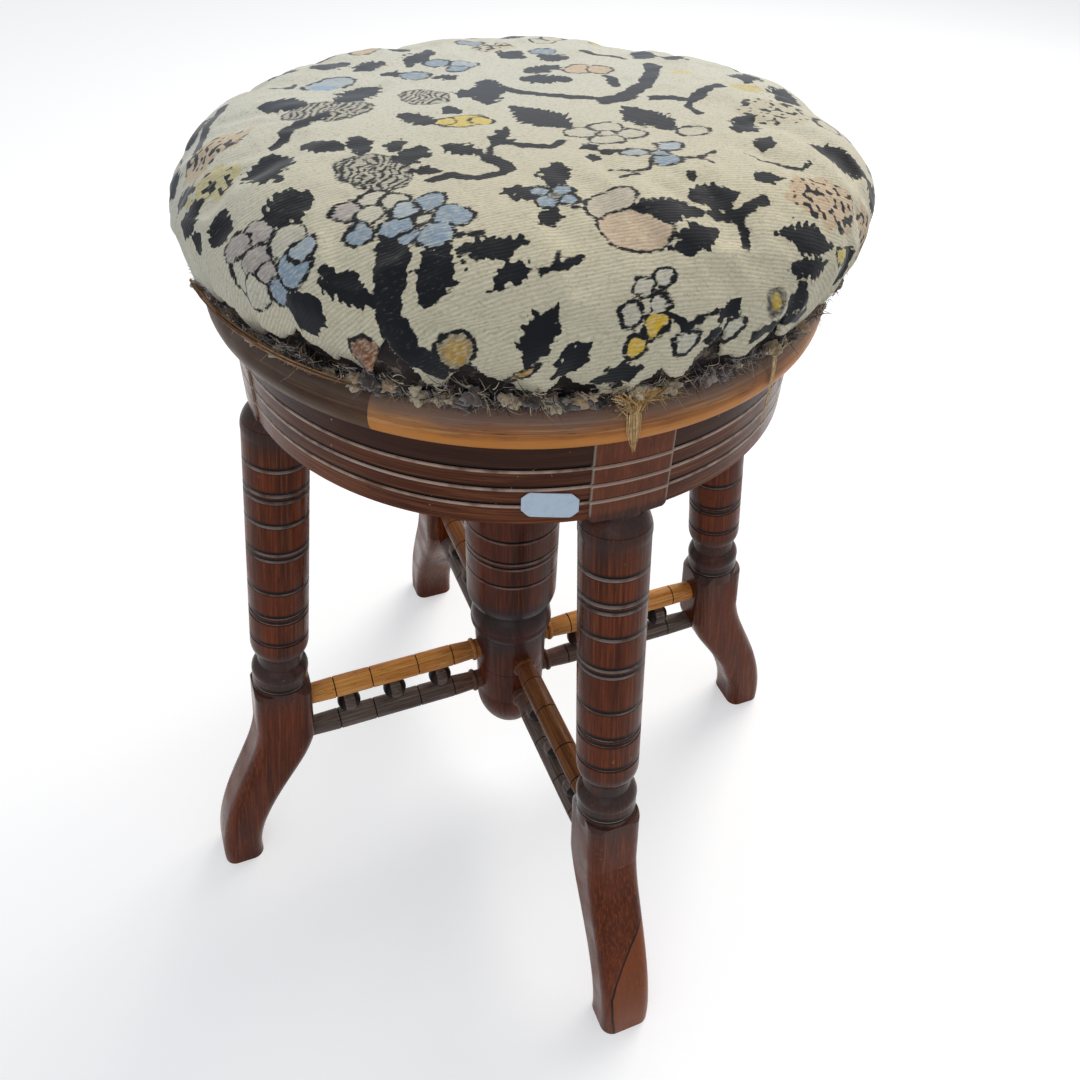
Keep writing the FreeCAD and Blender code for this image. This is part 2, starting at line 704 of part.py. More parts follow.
def rim_ring():
    """Whole bullnose ring round the seat board."""
    lower = (RIM_BOTTOM_R, SEAT_BOTTOM_Z + RIM_LOWER_EASE)
    widest = (RIM_MAX_R, SEAT_BOTTOM_Z + SEAT_THICK * RIM_WIDEST_SHARE)
    upper = (RIM_FLAT_R, SEAT_TOP_Z)
    start = (RIM_BOTTOM_R - RIM_LOWER_EASE, SEAT_BOTTOM_Z)
    edges = lines([upper, (SEAT_BOARD_R, SEAT_TOP_Z), (SEAT_BOARD_R, SEAT_BOTTOM_Z), start, lower])
    edges.append(arc(lower, widest, upper))
    return revolve(edges)


def make_rim_segments():
    """The ring sawn into equal segments, butt jointed end to end."""
    whole = rim_ring()
    reach = RIM_MAX_R * 2
    step = 360 / RIM_SEGMENTS
    wedge = Part.makeCylinder(reach, reach, V(0, 0, SEAT_BOTTOM_Z - reach / 2), V(0, 0, 1), step)
    return [whole.common(turn_z(wedge, RIM_JOINT_DEG + index * step)) for index in range(RIM_SEGMENTS)]


# Cushion

def cushion_points(inset):
    """Points of the cushion's half section, drawn in from its outside by a given thickness."""
    crown_centre_z = CROWN_Z - CROWN_R
    shoulder_x = CUSHION_R - CUSHION_SHOULDER_R
    lean = math.asin(shoulder_x / (CROWN_R - CUSHION_SHOULDER_R))
    widest_z = crown_centre_z + (CROWN_R - CUSHION_SHOULDER_R) * math.cos(lean)
    crown_r = CROWN_R - inset
    shoulder_r = CUSHION_SHOULDER_R - inset
    top = (0, CROWN_Z - inset)
    crown_middle = (crown_r * math.sin(lean / 2), crown_centre_z + crown_r * math.cos(lean / 2))
    crown_end = (crown_r * math.sin(lean), crown_centre_z + crown_r * math.cos(lean))
    half_turn = (math.pi / 2 + lean) / 2
    middle_x = shoulder_x + shoulder_r * math.sin(half_turn)
    shoulder_middle = (middle_x, widest_z + shoulder_r * math.cos(half_turn))
    widest = (CUSHION_R - inset, widest_z)
    return top, crown_middle, crown_end, shoulder_middle, widest


def side_arc(widest, foot_r, foot_z):
    """Arc of the drawn-in side, upright at its widest point, down to its foot."""
    run = widest[0] - foot_r
    drop = widest[1] - foot_z
    radius = (run * run + drop * drop) / (2 * run)
    centre_r = widest[0] - radius
    turn = math.atan2(drop, radius - run) / 2
    middle = (centre_r + radius * math.cos(turn), widest[1] - radius * math.sin(turn))
    return arc(widest, middle, (foot_r, foot_z))


def dome_edges(inset, foot_z):
    """Top, shoulder and drawn-in side of the cushion at a given depth under its outside."""
    top, crown_middle, crown_end, shoulder_middle, widest = cushion_points(inset)
    edges = [arc(top, crown_middle, crown_end), arc(crown_end, shoulder_middle, widest)]
    edges.append(side_arc(widest, CUSHION_FOOT_R - inset, foot_z))
    return edges


def make_stuffing():
    """Pad of hair under the cover."""
    top = CROWN_Z - COVER_THICK
    foot = CUSHION_FOOT_R - COVER_THICK
    edges = dome_edges(COVER_THICK, SEAT_TOP_Z)
    edges += lines([(foot, SEAT_TOP_Z), (0, SEAT_TOP_Z), (0, top)])
    return revolve(edges)


def gather_cutters():
    """Round cutters that press the gathers into the drawn-in side."""
    widest = cushion_points(0)[-1]
    foot = V(CUSHION_FOOT_R, 0, SEAT_TOP_Z + COVER_HEM_THICK)
    run = widest[0] - CUSHION_FOOT_R
    high = V(widest[0] - run * GATHER_TOP_IN, 0, widest[1] - run * GATHER_TOP_DOWN)
    chord = high - foot
    outward = V(chord.z, 0, -chord.x).normalize()
    drop = widest[1] - foot.z
    side_r = (run * run + drop * drop) / (2 * run)
    sagitta = chord.Length ** 2 / (8 * side_r)
    offset = outward * (sagitta + GATHER_R - GATHER_DEPTH)
    start = foot + offset
    one = Part.makeCylinder(GATHER_R, chord.Length, start, chord)
    return [turn_z(one, index * 360 / GATHER_COUNT) for index in range(GATHER_COUNT)]


def make_cover():
    """Woven cover, gathered in at its foot, with a hem that lies on the rim."""
    foot_z = SEAT_TOP_Z + COVER_HEM_THICK
    inner_foot = (CUSHION_FOOT_R - COVER_THICK, SEAT_TOP_Z)
    edges = dome_edges(0, foot_z)
    edges += lines([(CUSHION_FOOT_R, foot_z), (COVER_HEM_R, foot_z), (COVER_HEM_R, SEAT_TOP_Z), inner_foot])
    edges += dome_edges(COVER_THICK, SEAT_TOP_Z)
    edges += lines([(0, CROWN_Z - COVER_THICK), (0, CROWN_Z)])
    face = Part.Face(Part.Wire(Part.__sortEdges__(edges)))
    cover = face.revolve(V(0, 0, 0), V(0, 0, 1), 360)
    return cut_all(cover, gather_cutters())


# Assembly

def build_parts():
    """All sub-parts by name."""
    parts = {}
    leg_shape = leg_blank()
    column_shape = column_blank()
    leg = make_leg(leg_shape)
    apron_rail = make_apron_rail()
    upper = make_stretcher_rail(RAIL_UPPER_Z, leg_shape, column_shape)
    lower = make_stretcher_rail(RAIL_LOWER_Z, leg_shape, column_shape)
    balls = make_balls()
    for name, angle in LEG_ANGLES.items():
        parts["leg_" + name] = turn_z(leg, angle)
        parts["stretcher_upper_" + name] = turn_z(upper, angle)
        parts["stretcher_lower_" + name] = turn_z(lower, angle)
        parts["stretcher_balls_" + name] = turn_z(balls, angle)
    names = list(LEG_ANGLES)
    for index, name in enumerate(names):
        beside = names[(index + 1) % len(names)]
        parts["apron_rail_" + name + "_" + beside] = turn_z(apron_rail, LEG_ANGLES[name])
    parts["cross_bar_upper"] = make_cross_bar(True)
    parts["cross_bar_lower"] = turn_z(make_cross_bar(False), 90)
    parts["column"] = make_column(column_shape)
    parts["nut_plate"] = make_nut()
    parts["nut_screws"] = Part.makeCompound(nut_screws())
    parts["washer"] = make_washer()
    parts["spindle"] = make_spindle()
    parts["seat_flange"] = make_flange()
    parts["flange_screws"] = Part.makeCompound(flange_screws())
    parts["seat_board"] = make_seat_board()
    for index, segment in enumerate(make_rim_segments()):
        parts["seat_rim_" + str(index + 1)] = segment
    parts["stuffing"] = make_stuffing()
    parts["cover"] = make_cover()
    return parts


def main():
    os.makedirs("parts", exist_ok=True)
    for name, shape in build_parts().items():
        if not shape.isValid() or not shape.Solids:
            raise ValueError("bad solid: " + name)
        shape.exportStep("parts/" + name + ".step")
        print(name, len(shape.Solids), round(shape.Volume))


main()
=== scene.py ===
import math

import bmesh
import bpy
import numpy as np
from mathutils import Matrix, Vector


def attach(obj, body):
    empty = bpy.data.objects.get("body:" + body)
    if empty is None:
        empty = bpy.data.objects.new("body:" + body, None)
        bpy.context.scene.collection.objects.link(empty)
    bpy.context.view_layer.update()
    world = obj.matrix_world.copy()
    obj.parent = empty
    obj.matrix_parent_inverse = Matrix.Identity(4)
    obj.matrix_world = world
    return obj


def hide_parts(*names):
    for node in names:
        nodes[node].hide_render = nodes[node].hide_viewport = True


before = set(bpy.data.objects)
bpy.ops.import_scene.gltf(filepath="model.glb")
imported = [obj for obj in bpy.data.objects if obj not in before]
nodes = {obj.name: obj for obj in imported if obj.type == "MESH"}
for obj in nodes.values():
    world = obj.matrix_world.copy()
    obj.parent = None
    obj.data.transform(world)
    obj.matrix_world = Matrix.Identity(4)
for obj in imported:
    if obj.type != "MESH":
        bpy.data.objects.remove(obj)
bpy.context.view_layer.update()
scene = bpy.context.scene
MM = 0.001

# Sizes of the part that the looks follow, in millimetres
APRON_R = 146.0
APRON_BOTTOM = 386.5
LEG_AXIS_R = 133.2
LEG_RAKE = math.radians(7.5)
LEG_RINGS = (36.3, 74.1, 125.3, 169.0, 52.5, 57.1, 94.8, 99.4, 145.3, 149.9, 213.0)
COLUMN_RINGS = (20.5, 42.5, 76.5, 118.5, 157.0, 57.2, 61.8, 95.2, 99.8, 136.2, 140.8)
REEDS = (416.8, 406.8, 397.4)
SEAT_BOTTOM = 434.5
SEAT_TOP = 452.0
LEG_TURNS = {"right": 0, "back": 90, "left": 180, "front": 270}

# Cushion, in millimetres. The dome leans a little to the front and stands a little off the screw.
FOOT_R = 147.0
WIDEST_R = 168.7
WIDEST_Z = 485.4
CROWN_Z = 520.4
DOME_POWER = 7.0
DOME_ROUND = 1.32
DOME_LEAN = 0.04
DOME_OFF = (3.9, 1.7)
GRID = 4.2            # of the remeshed form
LOOSE = 1.8           # most that the cloth moves from its drawn form

# Ways from the crown over the cushion, in millimetres
PLEATS_START = 168
PLEATS_LENGTH = 36
PLEATS_DEPTH = 8.0
CLOTH_HELD = 206      # beyond this the cloth is held in place
CLOTH_END = 219       # longest cloth before it is torn
HEM = 1.6             # turned in at the torn edge
UNDERSIDE = 240.0     # given to the whole bottom, so that no cloth lies there

# Weave and filling of the cloth
RIB = 1.7             # from one woven rib to the next, in millimetres
PRESSURE = 4.0
STEPS = 20
SHRUNK_ACROSS = 0.988  # the cloth starts a little small and is blown up
SHRUNK_UP = 0.975


# General helpers

def linear(hex_colour):
    """Linear red, green, blue and alpha of an sRGB hex value."""
    value = hex_colour.lstrip("#")
    channels = [int(value[i:i + 2], 16) / 255 for i in (0, 2, 4)]
    return tuple(c / 12.92 if c <= 0.04045 else ((c + 0.055) / 1.055) ** 2.4 for c in channels) + (1.0,)


def is_link(value):
    """True for a node, or for a (node, output) pair."""
    return isinstance(value[0] if isinstance(value, tuple) else value, bpy.types.Node)


def link(material, value, socket):
    """Links a socket from a node's first output, or from a (node, output) pair."""
    node, output = value if isinstance(value, tuple) else (value, 0)
    material.node_tree.links.new(node.outputs[output], socket)


def add(material, kind, settings=None, inputs=None):
    """Adds a node; inputs maps a socket to a value, or to what it is linked from."""
    tree = material.node_tree
    node = tree.nodes.new("ShaderNode" + kind)
    for name, value in (settings or {}).items():
        setattr(node, name, value)
    for name, value in (inputs or {}).items():
        if is_link(value):
            link(material, value, node.inputs[name])
        else:
            node.inputs[name].default_value = value
    return node


def new_material(name):
    """Node material with nothing in it yet."""
    material = bpy.data.materials.new(name)
    material.use_nodes = True
    material.node_tree.nodes.clear()
    return material


def mesh_object(name, mesh):
    piece = bpy.data.objects.new(name, mesh)
    scene.collection.objects.link(piece)
    return piece


def only(piece):
    """Makes one object the selected and active one."""
    for other in bpy.context.selected_objects:
        other.select_set(False)
    piece.select_set(True)
    bpy.context.view_layer.objects.active = piece


def apply_all(piece):
    """Applies every modifier of a piece."""
    only(piece)
    for modifier in list(piece.modifiers):
        bpy.ops.object.modifier_apply(modifier=modifier.name)


def points_of(piece):
    data = np.empty(len(piece.data.vertices) * 3)
    piece.data.vertices.foreach_get("co", data)
    return data.reshape(-1, 3)


def put_points(piece, points):
    piece.data.vertices.foreach_set("co", points.astype(np.float32).ravel())
    piece.data.update()


def smooth_faces(piece):
    for polygon in piece.data.polygons:
        polygon.use_smooth = True


def object_of(form, name):
    """Object made from an edited form, which is closed."""
    mesh = bpy.data.meshes.new(name)
    form.to_mesh(mesh)
    form.free()
    return mesh_object(name, mesh)


# Values in a material's nodes

def own_place(material):
    """Object coordinates."""
    return (add(material, "TexCoord"), "Object")


def axes(material, where):
    """X, Y and Z of a place, by name."""
    node = add(material, "SeparateXYZ", inputs={0: where})
    return {name: (node, name) for name in "XYZ"}


def maths(material, operation, *values):
    return add(material, "Math", {"operation": operation}, dict(enumerate(values)))


def times(material, first, second):
    return maths(material, "MULTIPLY", first, second)


def noise(material, where, scale, detail, rough=0.5, distortion=0.0):
    """Noise over a place, as a value from 0 to 1."""
    inputs = {"Vector": where, "Scale": scale, "Detail": detail, "Roughness": rough, "Distortion": distortion}
    return (add(material, "TexNoise", inputs=inputs), "Fac")


# Camera, floor and light

def make_camera():
    """Camera at the photograph's place and angle."""
    data = bpy.data.cameras.new("camera")
    data.sensor_width = 36.0
    data.lens = 32.882
    data.clip_end = 50.0
    camera = bpy.data.objects.new("camera", data)
    scene.collection.objects.link(camera)
    right = (0.92844202, -0.37012152, 0.03170937)
    up = (0.22753275, 0.63407654, 0.73903707)
    back = (-0.29363969, -0.67893815, 0.67291807)
    place = (-0.172826, -0.445655, 0.679297)
    rows = [[right[i], up[i], back[i], place[i]] for i in range(3)]
    camera.matrix_world = Matrix(rows + [[0, 0, 0, 1]])
    scene.camera = camera


def straight_sight(material):
    """1 for what is seen, mirrored or seen through; 0 for the light that falls on things."""
    path = add(material, "LightPath")
    first = maths(material, "MAXIMUM", (path, "Is Camera Ray"), (path, "Is Glossy Ray"))
    both = maths(material, "MAXIMUM", first, (path, "Is Transmission Ray"))
    return both


def make_floor():
    """Plain white floor that keeps the stool's soft shadow."""
    bpy.ops.mesh.primitive_plane_add(size=30.0)
    floor = bpy.context.object
    floor.name = "floor"
    material = new_material("white_floor_paper")
    seen = straight_sight(material)
    matt = add(material, "BsdfDiffuse", inputs={"Color": linear("#d9dadb")})
    lift = times(material, seen, 0.4)
    glow = add(material, "Emission", inputs={"Color": (1, 1, 1, 1), "Strength": lift})
    both = add(material, "AddShader", inputs={0: matt, 1: glow})
    add(material, "OutputMaterial", inputs={"Surface": both})
    floor.data.materials.append(material)


def make_world():
    """White behind the floor, and even light from all round."""
    scene.view_settings.view_transform = "Standard"
    world = bpy.data.worlds.new("studio")
    scene.world = world
    world.use_nodes = True
    world.node_tree.nodes.clear()
    seen = straight_sight(world)
    ambient = add(world, "Background", inputs={"Color": linear("#eef1f6"), "Strength": 0.62})
    white = add(world, "Background", inputs={"Color": (1, 1, 1, 1), "Strength": 1.0})
    mixed = add(world, "MixShader", inputs={0: seen, 1: ambient, 2: white})
    add(world, "OutputWorld", inputs={"Surface": mixed})


def add_lamp(name, place, size, watts, colour, target=(0, 0, 0.3)):
    """Square soft lamp that points at a target."""
    data = bpy.data.lights.new(name, "AREA")
    data.size = size
    data.energy = watts
    data.color = linear(colour)[:3]
    lamp = bpy.data.objects.new(name, data)
    scene.collection.objects.link(lamp)
    lamp.location = place
    lamp.rotation_euler = (Vector(target) - Vector(place)).to_track_quat("-Z", "Y").to_euler()


def make_lights():
    add_lamp("window", (1.3, 0.9, 1.9), 1.3, 34.0, "#fff8ee")
    add_lamp("fill", (-1.2, -1.9, 1.5), 1.6, 9.0, "#eef3ff")


# Woods

def frame_of_turning(material, place, turn):
    """Object coordinates taken into the frame of a turned piece, with Z along its axis."""
    settings = {"vector_type": "TEXTURE"}
    return add(material, "Mapping", settings,
               {"Vector": own_place(material), "Location": place, "Rotation": turn})


def bent_frame(material):
    """Object coordinates unrolled round the stool's axis: X along the curve, Y outwards, Z up."""
    parts = axes(material, own_place(material))
    angle = maths(material, "ARCTAN2", parts["Y"], parts["X"])
    along = times(material, angle, APRON_R * MM)
    radius = radius_from_axis(material, parts)
    return add(material, "CombineXYZ", inputs={"X": along, "Y": radius, "Z": parts["Z"]})


def radius_from_axis(material, parts):
    """Distance from the Z axis of separated coordinates."""
    x2 = times(material, parts["X"], parts["X"])
    y2 = maths(material, "MULTIPLY_ADD", parts["Y"], parts["Y"], x2)
    return maths(material, "SQRT", y2)


def spread(material, value, low, high, to_low=0.0, to_high=1.0):
    """Eased share of a value between two limits."""
    return add(material, "MapRange", {"interpolation_type": "SMOOTHSTEP"},
               {"Value": value, "From Min": low, "From Max": high, "To Min": to_low, "To Max": to_high})


def surface(material, colour, rough, relief=None, more=None):
    """Ends a material with its shader; relief is (height, strength, depth in millimetres)."""
    inputs = {"Base Color": colour, "Roughness": rough, **(more or {})}
    if relief:
        height, strength, depth = relief
        inputs["Normal"] = add(material, "Bump", inputs={
            "Height": height, "Strength": strength, "Distance": depth * MM})
    shader = add(material, "BsdfPrincipled", inputs=inputs)
    add(material, "OutputMaterial", inputs={"Surface": shader})
    return material


def blend(material, share, under, over):
    """Colour over colour by a share; a colour is a socket or an sRGB hex value."""
    under, over = (linear(colour) if isinstance(colour, str) else colour for colour in (under, over))
    return (add(material, "Mix", {"data_type": "RGBA"}, {0: share, 6: under, 7: over}), 2)


def bands(material, value, low, high, stops):
    """Share along a length, from (place, share) stops in millimetres."""
    place = add(material, "MapRange", inputs={"Value": value, "From Min": low * MM, "From Max": high * MM})
    ramp = add(material, "ValToRGB", inputs={"Fac": place})
    line = ramp.color_ramp
    shares = [((z - low) / (high - low), level) for z, level in sorted(stops)]
    line.elements[0].position, first = shares[0]
    line.elements[0].color = (first, first, first, 1)
    line.elements[1].position, last = shares[-1]
    line.elements[1].color = (last, last, last, 1)
    for position, level in shares[1:-1]:
        line.elements.new(position).color = (level, level, level, 1)
    return (ramp, "Color")


def lines_at(material, value, places, half_width):
    """1 within half_width of any of the places, which are in millimetres; 0 elsewhere."""
    found = None
    for place in places:
        line = maths(material, "COMPARE", value, place * MM, half_width * MM)
        if found is not None:
            line = maths(material, "MAXIMUM", found, line)
        found = line
    return found


def groove_shade_and_highlight(material, colour, height, places, light, dark, where):
    """Painted shade on the upper side of each turned groove, and a painted highlight line on its lower side.
    """
    above = lines_at(material, height, [z + 0.6 for z in places], 1.0)
    below = lines_at(material, height, [z - 1.15 for z in places], 0.62)
    uneven = noise(material, where, 90.0, 3.0)
    share = spread(material, uneven, 0.3, 0.6, 0.25, 0.85)
    lighter_part = times(material, below, share)
    colour = blend(material, above, colour, dark)
    return blend(material, lighter_part, colour, light)


def streaks(material, where, along, lengthways, across, detail, rough=0.5, distortion=0.0):
    """Noise drawn out along one axis, with its scale lengthways and across."""
    scale = {"X": (lengthways, across, across), "Z": (across, across, lengthways)}[along]
    at = add(material, "Mapping", inputs={"Vector": where, "Scale": scale})
    return noise(material, at, 1.0, detail, rough, distortion)


def wood_grain(material, where, along, colours):
    """Fibres, pores and slow changes of tone; along names the axis that the grain follows.

    Fibre streaks are about 1.2 mm wide and 45 mm long, pores 0.5 mm wide and 9 mm long.
    """
    fibres = streaks(material, where, along, 22, 830, 4.0, 0.6)
    pores = streaks(material, where, along, 110, 2000, 1.0)
    slow = streaks(material, where, along, 9, 60, 2.0, distortion=0.8)
    dark, middle, light = colours
    tone = spread(material, slow, 0.3, 0.7)
    ground = blend(material, tone, dark, middle)
    streak = spread(material, fibres, 0.42, 0.72)
    ground = blend(material, times(material, streak, 0.6), ground, light)
    pore = spread(material, pores, 0.62, 0.7)
    ground = blend(material, times(material, pore, 0.55), ground, "#140805")
    return ground, fibres


def wear(material, where):
    """Small nicks and rubs, about 3 mm across and far apart."""
    spots = noise(material, where, 260.0, 3.0, 0.7)
    area = noise(material, where, 28.0, 2.0)
    few = spread(material, spots, 0.66, 0.72)
    where_worn = spread(material, area, 0.45, 0.6)
    return times(material, few, where_worn)


def polished(material, colour, fibres, where, rough=0.3, coat=0.35):
    """Old shellac over wood: satin gloss, uneven, with the fibres just to be felt."""
    haze = noise(material, where, 45.0, 4.0)
    roughness = spread(material, haze, 0.3, 0.7, rough - 0.07, rough + 0.16)
    return surface(material, colour, roughness, (fibres, 0.16, 0.4), {
        "IOR": 1.5, "Specular IOR Level": 0.09, "Coat Weight": coat * 0.12, "Coat Roughness": 0.12})


def leg_walnut(name, turn_degrees):
    """Turned walnut, shellacked dark: black in the rings, with painted shade above and painted highlights
    below each groove, ebonised grey on shoulder and collar.
    """
    material = new_material(name)
    turn = math.radians(turn_degrees)
    place = (LEG_AXIS_R * MM * math.cos(turn), LEG_AXIS_R * MM * math.sin(turn), APRON_BOTTOM * MM)
    where = frame_of_turning(material, place, (0, -LEG_RAKE, turn))
    colour, fibres = wood_grain(material, where, "Z", ("#411806", "#632a12", "#8a4a26"))
    parts = axes(material, where)
    ebony = bands(material, parts["Z"], -420, 60, [
        (-420, 0.0), (-245, 0.0), (-226, 0.35), (-214, 0.85), (-205, 0.8), (-196, 0.9), (-186, 0.8),
        (-176, 0.25), (-168, 0.05), (-40, 0.03), (-26, 0.3), (-18, 0.75), (-8, 0.85), (-2, 0.7), (4, 0.1),
        (60, 0.0)])
    patchy = noise(material, where, 60.0, 3.0)
    patch = spread(material, patchy, 0.25, 0.6, 0.55, 1.0)
    colour = blend(material, times(material, ebony, patch), colour, "#35302f")
    rings = [-drop for drop in LEG_RINGS]
    near = lines_at(material, parts["Z"], rings, 2.6)
    colour = blend(material, times(material, near, 0.45), colour, "#241310")
    # Painted shade on the upper side of each ring and a painted highlight line below it
    colour = groove_shade_and_highlight(material, colour, parts["Z"], rings, "#94857d", "#120806", where)
    # Top block: paler end and side grain with grey glue in its joints
    block = spread(material, parts["Z"], -0.001, 0.003)
    across = maths(material, "ABSOLUTE", parts["Y"])
    block_wood = blend(material, patch, "#4a261a", "#7d4c38")
    colour = blend(material, times(material, block, 0.4), colour, block_wood)
    joint = spread(material, across, 0.0184, 0.0192)
    glue = times(material, joint, block)
    colour = blend(material, glue, colour, "#8d8074")
    nicks = wear(material, where)
    colour = blend(material, times(material, nicks, 0.5), colour, "#9a6a4c")
    # Painted highlights: pale lines along the lips of the reeds
    upright = axes(material, own_place(material))
    reed_highlights = lines_at(material, upright["Z"], [z - 1.0 for z in REEDS], 0.6)
    colour = blend(material, times(material, reed_highlights, 0.75), colour, "#b5a294")
    if name.endswith("front"):
        colour = rubbed_foot(material, colour, upright)
    return polished(material, colour, fibres, where, 0.26)


def rubbed_foot(material, colour, upright):
    """Patch of the front foot where the dark finish is gone, with a dark line along its edge."""
    # Left edge of the patch in X for each height, as a share of -20 to 20 mm
    edge = bands(material, upright["Z"], 0, 100, [
        (0, 0.25), (20, 0.2), (38, 0.2), (50, 0.28), (63, 0.43), (75, 0.6), (84, 0.75), (90, 0.88),
        (100, 1.0)])
    edge_x = maths(material, "MULTIPLY_ADD", edge, 0.04, -0.02)
    beside = maths(material, "SUBTRACT", upright["X"], edge_x)
    low = spread(material, upright["Z"], 0.094, 0.09)
    inside = spread(material, beside, -0.0003, 0.0005)
    patch = times(material, inside, low)
    colour = blend(material, times(material, patch, 0.62), colour, "#8a4a26")
    line = maths(material, "COMPARE", beside, 0.0, 0.0007)
    line_part = times(material, line, low)
    return blend(material, line_part, colour, "#1c0d08")


def column_walnut():
    """The column, turned from the same dark walnut."""
    material = new_material("turned_walnut_column")
    where = frame_of_turning(material, (0, 0, 0), (0, 0, 0))
    colour, fibres = wood_grain(material, where, "Z", ("#3a1508", "#5a2410", "#7d3f20"))
    parts = axes(material, where)
    ebony = bands(material, parts["Z"], 60, 440, [
        (60, 0.2), (120, 0.1), (150, 0.2), (166, 0.8), (178, 0.6), (190, 0.9), (203, 0.85), (212, 0.2),
        (440, 0.1)])
    colour = blend(material, ebony, colour, "#2e2b2d")
    places = [APRON_BOTTOM - drop for drop in COLUMN_RINGS]
    # Painted shade on the upper side of each ring and a painted highlight line below it
    colour = groove_shade_and_highlight(material, colour, parts["Z"], places, "#7d6a60", "#100705", where)
    return polished(material, colour, fibres, where)


def apron_walnut():
    """Curved rails with their grain round the seat: darkened above the reeds by a painted shadow of the
    overhanging seat rim, redder and rubbed below.
    """
    material = new_material("bent_grain_walnut_apron")
    where = bent_frame(material)
    colour, fibres = wood_grain(material, where, "X", ("#451c0b", "#66341a", "#955c37"))
    parts = axes(material, where)
    # Painted shadow of the overhanging seat rim, deepest above the top reed and fading down the apron
    dark = bands(material, parts["Z"], 380, 440, [
        (380, 0.1), (398, 0.1), (407, 0.3), (415, 0.4), (418, 0.8), (440, 0.9)])
    colour = blend(material, dark, colour, "#2c1912")
    # Painted shade on the upper side of each reed groove and a painted highlight line below it
    colour = groove_shade_and_highlight(material, colour, parts["Z"], REEDS, "#b9a596", "#1a0c08", where)
    nicks = wear(material, where)
    colour = blend(material, nicks, colour, "#a37c62")
    return polished(material, colour, fibres, where, 0.28, 0.35)


def rim_walnut(name, colours, worn, edge_share, dust_and_sheen_share):
    """Bullnose of the seat: grey dust and a painted sheen above, rubbed to bare honey wood along its lower
    edge.
    """
    material = new_material(name)
    where = bent_frame(material)
    colour, fibres = wood_grain(material, where, "X", colours)
    parts = axes(material, where)
    ragged = noise(material, where, 70.0, 4.0)
    wobble = maths(material, "MULTIPLY_ADD", ragged, 0.006, parts["Z"])
    low = spread(material, wobble, 0.4465, 0.4415)
    lighter_part = times(material, low, edge_share)
    colour = blend(material, lighter_part, colour, worn)
    # Grey over the upper half: partly dust, partly a painted sheen of the polish
    dust_and_sheen = spread(material, wobble, 0.4455, 0.4525)
    colour = blend(material, times(material, dust_and_sheen, dust_and_sheen_share), colour, "#75645b")
    return polished(material, colour, fibres, where, 0.36, 0.3)


def rail_wood(name, turn_degrees, height, colours, ring, rough):
    """Turned stretcher rail with dark rings."""
    material = new_material(name)
    turn = math.radians(turn_degrees)
    where = frame_of_turning(material, (0, 0, height * MM), (0, math.pi / 2, turn))
    colour, fibres = wood_grain(material, where, "Z", colours)
    parts = axes(material, where)
    radius = radius_from_axis(material, parts)
    in_groove = spread(material, radius, 0.0073, 0.0070)
    ringed = bands(material, parts["Z"], 0, 180,
                   [(0, 0.0), (42, 0.0), (43, 1.0), (130, 1.0), (131, 0.0), (180, 0.0)])
    colour = blend(material, times(material, in_groove, ringed), colour, ring)
    ends = bands(material, parts["Z"], 0, 180, [(0, 0.9), (28, 0.8), (46, 0.35), (60, 0.0), (180, 0.0)])
    colour = blend(material, times(material, ends, 0.7), colour, "#5b2c1b")
    return polished(material, colour, fibres, where, rough, 0.25)


def raw_pine():
    """Planed pine left bare inside the seat."""
    material = new_material("planed_pine")
    where = frame_of_turning(material, (0, 0, 0), (0, 0, 0))
    colour, fibres = wood_grain(material, where, "X", ("#7a5c3a", "#97754b", "#b08d60"))
    return polished(material, colour, fibres, where, 0.6, 0.0)


def iron(name, hex_colour, rough):
    """Iron, filed and greased: mottled, with a dull shine."""
    material = new_material(name)
    where = own_place(material)
    mottle = noise(material, where, 180.0, 5.0)
    share = spread(material, mottle, 0.35, 0.65)
    colour = blend(material, share, hex_colour, "#3b2a20")
    roughness = spread(material, mottle, 0.3, 0.7, rough, rough + 0.25)
    return surface(material, colour, roughness, (mottle, 0.3, 0.5), {"Metallic": 0.85})


def give(material, *names):
    """Gives a material to CAD nodes."""
    for name in names:
        nodes[name].data.materials.clear()
        nodes[name].data.materials.append(material)


